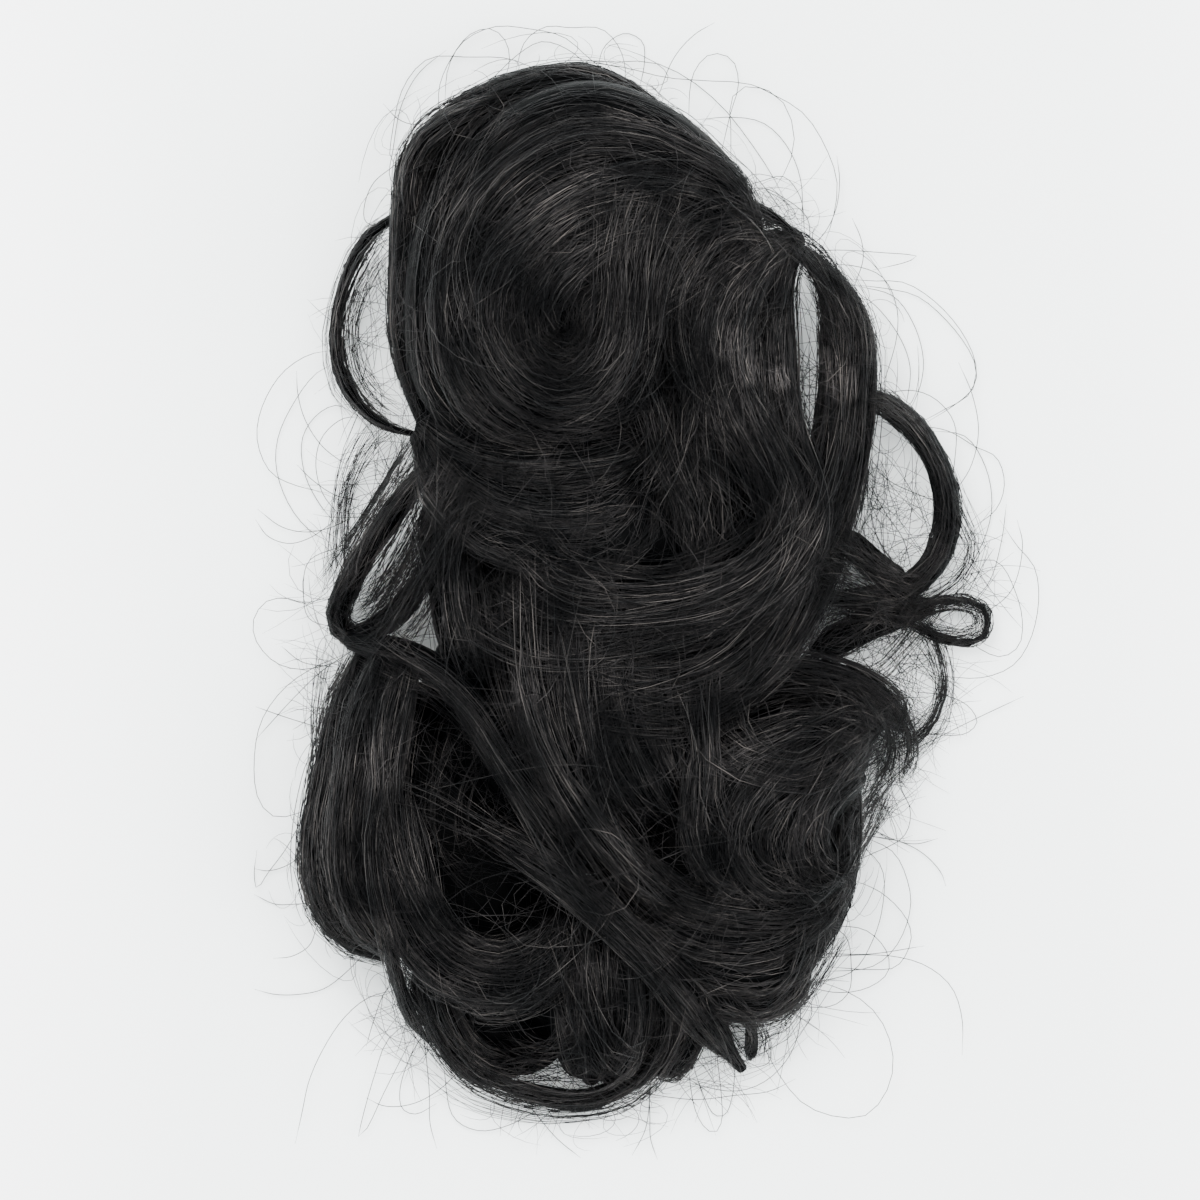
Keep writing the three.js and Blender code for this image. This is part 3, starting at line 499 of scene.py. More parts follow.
    lock("right_loop", 4, 9, [[78, 55.7, 16], [81, 54, 15], [84.5, 52, 14], [88, 50.5, 12]]),
    lock("eyelet_curl", 5, 11, [[74, 44.4, 24], [78, 45.4, 20], [82.4, 46.7, 15], [87, 47.9, 10],
        [91.5, 48.8, 7]], core=0.85),
    lock("eyelet_curl", 1.5, 8, [[88, 48.1, 9], [92.5, 49.1, 7], [97, 49.2, 6], [99.3, 48.3, 6],
        [99.8, 46.7, 6], [98.2, 45.2, 6], [94.8, 45.2, 6], [91.3, 45.9, 6],
        [88.3, 47.1, 7]], core=0.6, ends=(1, 0.7)),
    lock("left_tip", 2.2, 12, [[11.6, 22, 52], [12.8, 17, 46], [14.3, 12.5, 30], [16, 9.2, 16],
        [18.3, 6.9, 7]], ends=(0.5, 0.3)),
    lock("bottom_arc", 3, 12, [[49.5, 18, 30], [52.8, 13, 26], [53.5, 8.7, 18], [51, 4.9, 11],
        [46.5, 2.6, 7], [41, 1.3, 6], [35.5, 1.6, 6], [30, 2.6, 7],
        [25.5, 3.2, 8]], ends=(0.6, 0.4)),
]
BUNCHES = list(dict.fromkeys(row["bunch"] for row in LOCKS))
print(len(LOCKS), "locks in", len(BUNCHES), "bunches")


def taper(t, ends):
    """The share of its full size that a lock has at a share of its length."""
    def rise(x):
        x = np.clip(x / 0.2, 0, 1)
        return x * x * (3 - 2 * x)
    return (ends[0] + (1 - ends[0]) * rise(t)) * (ends[1] + (1 - ends[1]) * rise(1 - t))


print("longest lock in mm:", round(1000 * max(row["length"] for row in LOCKS)))

# %% [markdown]
# ## Lock bodies
# Under its strands each lock has a dark body that closes the gaps. It could be a bevelled curve,
# but a curve's section can't be wider than it is tall. Here a cylinder is stretched to the lock's
# length, cut into rings, flattened, and bent along the path with a Curve modifier.

# %% Bend a cylinder along a lock
BODY_SIDES = 16
BODY_SHARE = 0.955


def guide_curve(lock):
    """A curve along the lock, whose radius narrows towards the ends."""
    data = bpy.data.curves.new("guide", "CURVE")
    data.dimensions = "3D"
    data.twist_mode = "Z_UP"
    data.use_stretch = True
    data.use_deform_bounds = True
    spline = data.splines.new("POLY")
    line = lock["line"]
    spline.points.add(len(line) - 1)
    spline.points.foreach_set("co", np.hstack([line, np.ones((len(line), 1))]).ravel())
    spline.points.foreach_set("radius", taper(np.linspace(0, 1, len(line)), lock["ends"]))
    guide = bpy.data.objects.new("guide", data)
    bpy.context.collection.objects.link(guide)
    return guide


def lock_body(lock):
    """The dark body of one lock."""
    rings = max(6, int(lock["length"] / 0.0045))
    bpy.ops.object.select_all(action="DESELECT")
    bpy.ops.mesh.primitive_cylinder_add(vertices=BODY_SIDES, radius=1, depth=lock["length"],
                                        rotation=(0, math.pi / 2, 0),
                                        location=(lock["length"] / 2, 0, 0))
    body = bpy.context.object
    share = BODY_SHARE * lock["core"]
    body.scale = (lock["thick"] / 2 * SIZE[2] * share, lock["width"] / 2 * SIZE[0] * share, 1)
    bpy.ops.object.transform_apply(location=True, rotation=True, scale=True)
    bpy.ops.object.mode_set(mode="EDIT")
    bpy.ops.mesh.select_mode(type="EDGE")
    bpy.ops.mesh.select_all(action="DESELECT")
    bpy.ops.object.mode_set(mode="OBJECT")
    for edge in body.data.edges:
        a, b = (body.data.vertices[i].co for i in edge.vertices)
        edge.select = bool(abs(a.x - b.x) > lock["length"] / 2)
    bpy.ops.object.mode_set(mode="EDIT")
    bpy.ops.mesh.subdivide(number_cuts=rings - 1)
    bpy.ops.object.mode_set(mode="OBJECT")
    guide = guide_curve(lock)
    bend = body.modifiers.new("bend", "CURVE")
    bend.object = guide
    bend.deform_axis = "POS_X"
    bpy.ops.object.modifier_apply(modifier="bend")
    bpy.data.objects.remove(guide)
    return body


bodies = {}
for bunch in BUNCHES:
    made = [lock_body(row) for row in LOCKS if row["bunch"] == bunch]
    bpy.ops.object.select_all(action="DESELECT")
    for body in made:
        body.select_set(True)
    bpy.context.view_layer.objects.active = made[0]
    if len(made) > 1:
        bpy.ops.object.join()
    bodies[bunch] = bpy.context.view_layer.objects.active
    bodies[bunch].name = bunch + "_body"
    bpy.ops.object.shade_smooth()
print("body triangles:", sum(2 * len(b.data.polygons) for b in bodies.values()))

# %% [markdown]
# ## Padding
# Inside a real hairpiece loose fibres fill the middle, and the hollows between locks look black.
# Low domes stand in for them. Each is a sphere, flattened and cut off at the table, and the hollow
# for the clip is cut out with a Boolean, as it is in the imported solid.

# %% Domes under the locks
PADS = [
    dict(bunch="crown_hair", across=37, along=81.5, half_across=20.5, half_along=15, top=66),
    dict(bunch="tail_hair", across=44, along=58, half_across=24, half_along=13, top=54),
    dict(bunch="tail_hair", across=55, along=72, half_across=10, half_along=9, top=46),
    dict(bunch="tail_hair", across=42, along=38, half_across=25, half_along=15, top=48),
    dict(bunch="tail_hair", across=22, along=28, half_across=17, half_along=14, top=30),
    dict(bunch="tail_hair", across=60, along=27, half_across=18, half_along=14, top=39),
    dict(bunch="tail_hair", across=45, along=14, half_across=16, half_along=9, top=29),
    dict(bunch="tail_hair", across=26, along=13, half_across=10, half_along=8, top=23),
    dict(bunch="tail_hair", across=31, along=7.5, half_across=7.5, half_along=4, top=10),
    dict(bunch="tail_hair", across=73, along=36, half_across=10, half_along=7, top=24),
]
PAD_RISE = 0.3


def pad_body(pad):
    """A low dome that stands on the table."""
    height = pad["top"] * SIZE[2]
    x, y, _ = places([[pad["across"], pad["along"], 0]])[0]
    bpy.ops.object.select_all(action="DESELECT")
    bpy.ops.mesh.primitive_uv_sphere_add(segments=40, ring_count=24,
                                         location=(x, y, height * PAD_RISE))
    dome = bpy.context.object
    dome.scale = (pad["half_across"] * SIZE[0], pad["half_along"] * SIZE[1],
                  height * (1 - PAD_RISE))
    bpy.ops.object.transform_apply(location=True, rotation=True, scale=True)
    bpy.ops.object.mode_set(mode="EDIT")
    bpy.ops.mesh.select_all(action="SELECT")
    bpy.ops.mesh.bisect(plane_co=(0, 0, 0.0002), plane_no=(0, 0, 1), use_fill=True,
                        clear_inner=True)
    bpy.ops.object.mode_set(mode="OBJECT")
    return dome


def clip_room():
    """The arched space round the clip, down to the table and out past its lower end."""
    bpy.ops.object.select_all(action="DESELECT")
    middle = ((clip_low[0] + clip_high[0]) / 2, (clip_low[1] + clip_high[1]) / 2 - 0.011, 0.017)
    bpy.ops.mesh.primitive_cylinder_add(vertices=32, radius=1, depth=0.099, location=middle,
                                        rotation=(math.pi / 2, 0, 0))
    room = bpy.context.object
    room.scale = (0.0216, 0.0185, 1)
    bpy.ops.object.transform_apply(location=True, rotation=True, scale=True)
    for vertex in room.data.vertices:
        if vertex.co.z < middle[2]:
            vertex.co.z = -0.01
    return room


for bunch in ("crown_hair", "tail_hair"):
    domes = [pad_body(pad) for pad in PADS if pad["bunch"] == bunch]
    room = clip_room()
    for dome in domes:
        bpy.ops.object.select_all(action="DESELECT")
        dome.select_set(True)
        bpy.context.view_layer.objects.active = dome
        cut = dome.modifiers.new("clip_room", "BOOLEAN")
        cut.operation = "DIFFERENCE"
        cut.object = room
        cut.solver = "EXACT"
        bpy.ops.object.modifier_apply(modifier="clip_room")
    bpy.data.objects.remove(room)
    bpy.ops.object.select_all(action="DESELECT")
    for piece in (bodies[bunch], *domes):
        piece.select_set(True)
    bpy.context.view_layer.objects.active = bodies[bunch]
    bpy.ops.object.join()
for bunch, body in bodies.items():
    body.data.materials.clear()
    body.data.materials.append(BODY_HAIR)
    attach(body, "root")
    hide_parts(bunch)
print("bodies:", {name: len(body.data.polygons) for name, body in bodies.items()})

# %% [markdown]
# ## The height of the locks
# Later steps need to know how high the locks are at a place, and whether a strand is buried under
# others. A depth picture from the camera would only tell the first. Rays shot at the bodies tell
# both, so a search tree of all bodies is made once, with a grid of heights seen from above.

# %% Measure heights with rays
GRID = 0.001
grid_low = np.array([cad_box[0][0], cad_box[0][1]]) - 0.02
grid_size = (np.array([cad_box[1][0], cad_box[1][1]]) + 0.02 - grid_low) / GRID
columns, rows = (int(n) + 1 for n in grid_size)
points, faces = [], []
for body in bodies.values():
    start = len(points)
    points.extend(vertex.co.copy() for vertex in body.data.vertices)
    faces.extend([start + i for i in face.vertices] for face in body.data.polygons)
surface = BVHTree.FromPolygons(points, faces)
heights = np.zeros((rows, columns))
down = Vector((0, 0, -1))
for j in range(rows):
    for i in range(columns):
        above = Vector((grid_low[0] + i * GRID, grid_low[1] + j * GRID, 0.2))
        hit = surface.ray_cast(above, down)[0]
        if hit:
            heights[j, i] = hit.z


def with_neighbours(grid):
    """The grid and its four shifted copies."""
    wide = np.pad(grid, 1, mode="edge")
    return [grid, wide[:-2, 1:-1], wide[2:, 1:-1], wide[1:-1, :-2], wide[1:-1, 2:]]


top_heights = np.max(with_neighbours(heights), axis=0)
for _ in range(3):
    top_heights = np.mean(with_neighbours(top_heights), axis=0)


def height_at(x, y):
    """The measured height under points in metres."""
    i = np.clip((x - grid_low[0]) / GRID, 0, columns - 1.001)
    j = np.clip((y - grid_low[1]) / GRID, 0, rows - 1.001)
    i0, j0 = i.astype(int), j.astype(int)
    di, dj = i - i0, j - j0
    return ((top_heights[j0, i0] * (1 - di) + top_heights[j0, i0 + 1] * di) * (1 - dj)
            + (top_heights[j0 + 1, i0] * (1 - di) + top_heights[j0 + 1, i0 + 1] * di) * dj)


LOOKS = [Vector(v).normalized() for v in (
    (0, 0, 1), (1, 0, 0.7), (-1, 0, 0.7), (0, 1, 0.7), (0, -1, 0.7), (1, 1, 0.25), (-1, 1, 0.25),
    (1, -1, 0.25), (-1, -1, 0.25))]

CLEAR = 0.0008


def shows(line):
    """Whether some part of a line can be seen from above or from a side."""
    for at in (0.12, 0.32, 0.5, 0.68, 0.88):
        start = Vector(line[int(at * (len(line) - 1))])
        if any(surface.ray_cast(start + look * CLEAR, look)[0] is None for look in LOOKS):
            return True
    return False


print("highest place in mm:", round(float(heights.max() * 1000), 1), "grid:", rows, columns)

# %% [markdown]
# ## Strands
# A strand is a closed tube with three sides, which is enough for something a fifth of a millimetre
# thick. Thousands of them are written into one mesh from arrays. They lie in small clumps on the
# lock's surface, and each strays a little from its clump, as real fibres do.

# %% Turn lines into one mesh of thin tubes
MOST_STRANDS = 1400
LIGHT_FROM = 0.8
rng = np.random.default_rng(11)


def unit(v):
    """Vectors of length one."""
    return v / np.maximum(np.linalg.norm(v, axis=-1, keepdims=True), 1e-12)


def tube_mesh(name, lines, radii, tones):
    """One mesh from groups of lines, where each group has lines of equal point counts."""
    verts, quads, caps, quad_maps, cap_maps, quad_tone, cap_tone = [], [], [], [], [], [], []
    base = 0
    for line, radius, tone in zip(lines, radii, tones):
        count, steps, _ = line.shape
        tangent = unit(np.gradient(line, axis=1))
        side = unit(np.cross(tangent, [0, 0, 1.0]))
        top = np.cross(side, tangent)
        share = np.linspace(0, 1, steps)
        thin = np.clip(np.minimum(share, 1 - share) / 0.12, 0.35, 1)
        size = radius[:, None, None] * thin[None, :, None]
        ring = [line + size * (math.cos(a) * side + math.sin(a) * top)
                for a in (math.pi / 2, math.pi * 7 / 6, math.pi * 11 / 6)]
        verts.append(np.stack(ring, axis=2).reshape(-1, 3))
        index = base + np.arange(count * steps * 3).reshape(count, steps, 3)
        for k in range(3):
            a, b = index[:, :, k], index[:, :, (k + 1) % 3]
            quad = np.stack([a[:, :-1], b[:, :-1], b[:, 1:], a[:, 1:]], axis=-1)
            quads.append(quad.reshape(-1, 4))
            u = np.broadcast_to(tone[:, None, None], (count, steps - 1, 4))
            v = np.stack([share[:-1], share[:-1], share[1:], share[1:]], axis=-1)
            v = np.broadcast_to(v[None], (count, steps - 1, 4))
            quad_maps.append(np.stack([u, v], axis=-1).reshape(-1, 2))
            quad_tone.append(np.repeat(tone, steps - 1))
        for end, order in ((0, (2, 1, 0)), (steps - 1, (0, 1, 2))):
            caps.append(index[:, end, :][:, order])
            u = np.broadcast_to(tone[:, None], (count, 3))
            v = np.full((count, 3), float(end > 0))
            cap_maps.append(np.stack([u, v], axis=-1).reshape(-1, 2))
            cap_tone.append(tone)
        base += count * steps * 3
    verts = np.vstack(verts)
    quads, caps = np.vstack(quads), np.vstack(caps)
    loops = np.concatenate([quads.ravel(), caps.ravel()])
    sizes = np.concatenate([np.full(len(quads), 4), np.full(len(caps), 3)])
    mesh = bpy.data.meshes.new(name)
    mesh.vertices.add(len(verts))
    mesh.vertices.foreach_set("co", verts.astype(np.float32).ravel())
    mesh.loops.add(len(loops))
    mesh.loops.foreach_set("vertex_index", loops.astype(np.int32))
    mesh.polygons.add(len(sizes))
    mesh.polygons.foreach_set("loop_start", (np.cumsum(sizes) - sizes).astype(np.int32))
    mesh.polygons.foreach_set("use_smooth", np.ones(len(sizes), bool))
    tone_of = np.concatenate([*quad_tone, *cap_tone])
    mesh.polygons.foreach_set("material_index", (tone_of > LIGHT_FROM).astype(np.int32))
    mesh.update(calc_edges=True)
    strand_map = mesh.uv_layers.new(name="strand")
    strand_map.data.foreach_set("uv", np.vstack(quad_maps + cap_maps).astype(np.float32).ravel())
    mesh.materials.append(BLACK_HAIR)
    mesh.materials.append(SOFT_HAIR)
    mesh.validate()
    piece = bpy.data.objects.new(name, mesh)
    bpy.context.collection.objects.link(piece)
    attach(piece, "root")
    return 2 * len(quads) + len(caps)


def add_strands(name, groups):
    """Meshes of at most MOST_STRANDS strands each, from groups of lines, radii and tones."""
    number, held, total = 1, [], 0
    triangles = 0
    for line, radius, tone in groups:
        while len(line):
            take = min(len(line), MOST_STRANDS - total)
            held.append((line[:take], radius[:take], tone[:take]))
            line, radius, tone = line[take:], radius[take:], tone[take:]
            total += take
            if total >= MOST_STRANDS:
                triangles += tube_mesh(f"{name}_{number}", *zip(*held))
                number, held, total = number + 1, [], 0
    if held:
        triangles += tube_mesh(f"{name}_{number}", *zip(*held))
    return triangles


# %% Lay strands on a lock
STRANDS_PER_MM = 9.2
STRAND_RADIUS = 0.000095
ROUND_BUNCHES = ("left_loop", "right_loop", "eyelet_curl", "left_tip", "bottom_arc", "top_strand")
STEP_LENGTH = 0.0095
ROUND_SHARE = 0.36
FLANK_SHARE = 0.3
SHORT_SHARE = 0.25


def between(values, at):
    """Values along a path at shares of its length."""
    spot = at * (len(values) - 1)
    low = np.clip(spot.astype(int), 0, len(values) - 2)
    mix = (spot - low)[..., None]
    return values[low] * (1 - mix) + values[low + 1] * mix


def spans(count, steps):
    """For each strand, evenly spaced shares of the lock's length. Some strands are short."""
    short = rng.random(count) < SHORT_SHARE
    first = np.where(short, rng.uniform(0, 0.55, count), rng.uniform(0, 0.08, count))
    last = np.where(short, first + rng.uniform(0.3, 0.45, count), 1 - rng.uniform(0, 0.12, count))
    return first[:, None] + (last - first)[:, None] * np.linspace(0, 1, steps)[None]


def lock_strands(lock, count):
    """Lines of strands that follow the lock, some round its sides and most of them flat on top."""
    line, steps = lock["line"], int(np.clip(lock["length"] / STEP_LENGTH, 8, 24))
    clumps = max(3, int(lock["width"] * SIZE[0] * 1000 / 1.3))
    loose = lock["bunch"] in ROUND_BUNCHES
    reach = 1.0 if loose else 1.15
    clump_place = rng.uniform(-reach, reach, clumps)
    clump_turn = rng.uniform(-0.45, 0.45, clumps)
    clump_wave = rng.uniform(0, 2 * math.pi, clumps)
    member = rng.integers(0, clumps, count)
    around = (rng.random(count) < (1 if loose else lock["sides"] or ROUND_SHARE))[:, None]
    t = spans(count, steps)
    own = rng.normal(0, 0.13, count)
    wander = np.where(rng.random(count) < 0.16, rng.uniform(-1.6, 1.6, count), 0)
    gather = 0.75 + 0.25 * np.sin(2 * math.pi * t * rng.uniform(0.6, 1.4, count)[:, None]
                                  + clump_wave[member][:, None])
    spot = (clump_place[member][:, None]
            + (clump_turn[member] + wander)[:, None] * (t - 0.5) + own[:, None] * gather)
    spot = np.clip(spot, -1.3, 1.3)
    angle = spot * (math.pi if loose else 2.3)
    across = np.where(around, np.sin(angle), spot)
    rise = np.where(around, np.cos(angle), 1 - 0.36 * spot ** 2)
    depth = 1 + rng.normal(0.0, 0.045, count)[:, None] + 0.02 * np.sin(
        2 * math.pi * t * rng.uniform(1, 3, count)[:, None] + rng.uniform(0, 6.3, count)[:, None])
    tangent = unit(np.gradient(line, axis=0))
    side = unit(np.cross(tangent, [0, 0, 1.0]))
    top = np.cross(side, tangent)
    size = taper(t, lock["ends"])
    wide = lock["width"] / 2 * SIZE[0] * size
    high = lock["thick"] / 2 * SIZE[2] * size
    wave = 0.0004 * np.sin(2 * math.pi * (t * lock["length"] / 0.04) + clump_wave[member][:, None])
    points = (between(line, t)
              + between(side, t) * (across * depth * wide + wave)[..., None]
              + between(top, t) * (rise * depth * high)[..., None])
    return points


def blend_strands(one, other, count):
    """Lines of strands that fill the dip between two neighbouring locks."""
    steps = int(np.clip(max(one["length"], other["length"]) / STEP_LENGTH, 8, 24))
    clumps = max(4, count // 22)
    member = rng.integers(0, clumps, count)
    drift = rng.uniform(-0.35, 0.35, clumps)[member] + rng.normal(0, 0.12, count)
    t = spans(count, steps)
    share = np.clip(rng.uniform(0, 1, clumps)[member][:, None] + rng.normal(0, 0.07, count)[:, None]
                    + drift[:, None] * (t - 0.5), 0, 1)[..., None]
    ridge = []
    for row in (one, other):
        lift = row["thick"] / 2 * SIZE[2] * taper(t, row["ends"])
        ridge.append(between(row["line"], t) + np.array([0, 0, 1]) * lift[..., None])
    points = ridge[0] * (1 - share) + ridge[1] * share
    sag = rng.uniform(0.0005, 0.0035, count)[:, None] * 4 * (share * (1 - share))[..., 0]
    points[..., 2] += rng.normal(0, 0.0004, count)[:, None] - sag
    return points


ROOM_LOW = np.array(cad_box[0]) - [0.014, 0.0165, 0.001]
ROOM_HIGH = np.array(cad_box[1]) + [0.014, 0.0165, 0.009]


def finished(lines, radius=STRAND_RADIUS, brightest=1.0):
    """Strands that show, kept near the piece, with a thickness and a tone for each."""
    lines[..., 2] = np.maximum(lines[..., 2], 0.0006)
    inside = ((lines > ROOM_LOW) & (lines < ROOM_HIGH)).all(axis=(1, 2))
    lines = lines[inside]
    lines = lines[[shows(line) for line in lines]]
    count = len(lines)
    return lines, radius * rng.uniform(0.7, 1.3, count), rng.random(count) * brightest


triangles = 0
for bunch in BUNCHES:
    groups, laid = [], 0
    held = [row for row in LOCKS if row["bunch"] == bunch]
    for row in held:
        girth = row["width"] * SIZE[0] + (row["sides"] or FLANK_SHARE) * row["thick"] * SIZE[2]
        count = int(STRANDS_PER_MM * girth * 1000)
        laid += count
        groups.append(finished(lock_strands(row, count)))
    for one, other in zip(held, held[1:]):
        apart = np.linalg.norm(one["line"] - other["line"], axis=1)
        if apart.mean() < 0.016 and apart.max() < 0.04:
            count = int(STRANDS_PER_MM * 0.8 * apart.mean() * 1000)
            laid += count
            groups.append(finished(blend_strands(one, other, count)))
    made = add_strands(bunch + "_strands", groups)
    triangles += made
    print(bunch, "strands:", sum(len(g[0]) for g in groups), "of", laid, "triangles:", made)
print("strand triangles in all:", triangles)

# %% [markdown]
# ## Loose wisps
# Between the big locks run thin wisps, each of a few dozen hairs, and some stand off the outline.
# They need no body of their own. Their paths are drawn flat, and each hair is then laid on what is
# under it, so a table of paths from above is enough.

# %% The table of wisps
def wisp(width, hairs, path, root=1):
    """One wisp. Root is the share of its width that it starts with."""
    return dict(width=width, hairs=hairs, path=path, root=root)


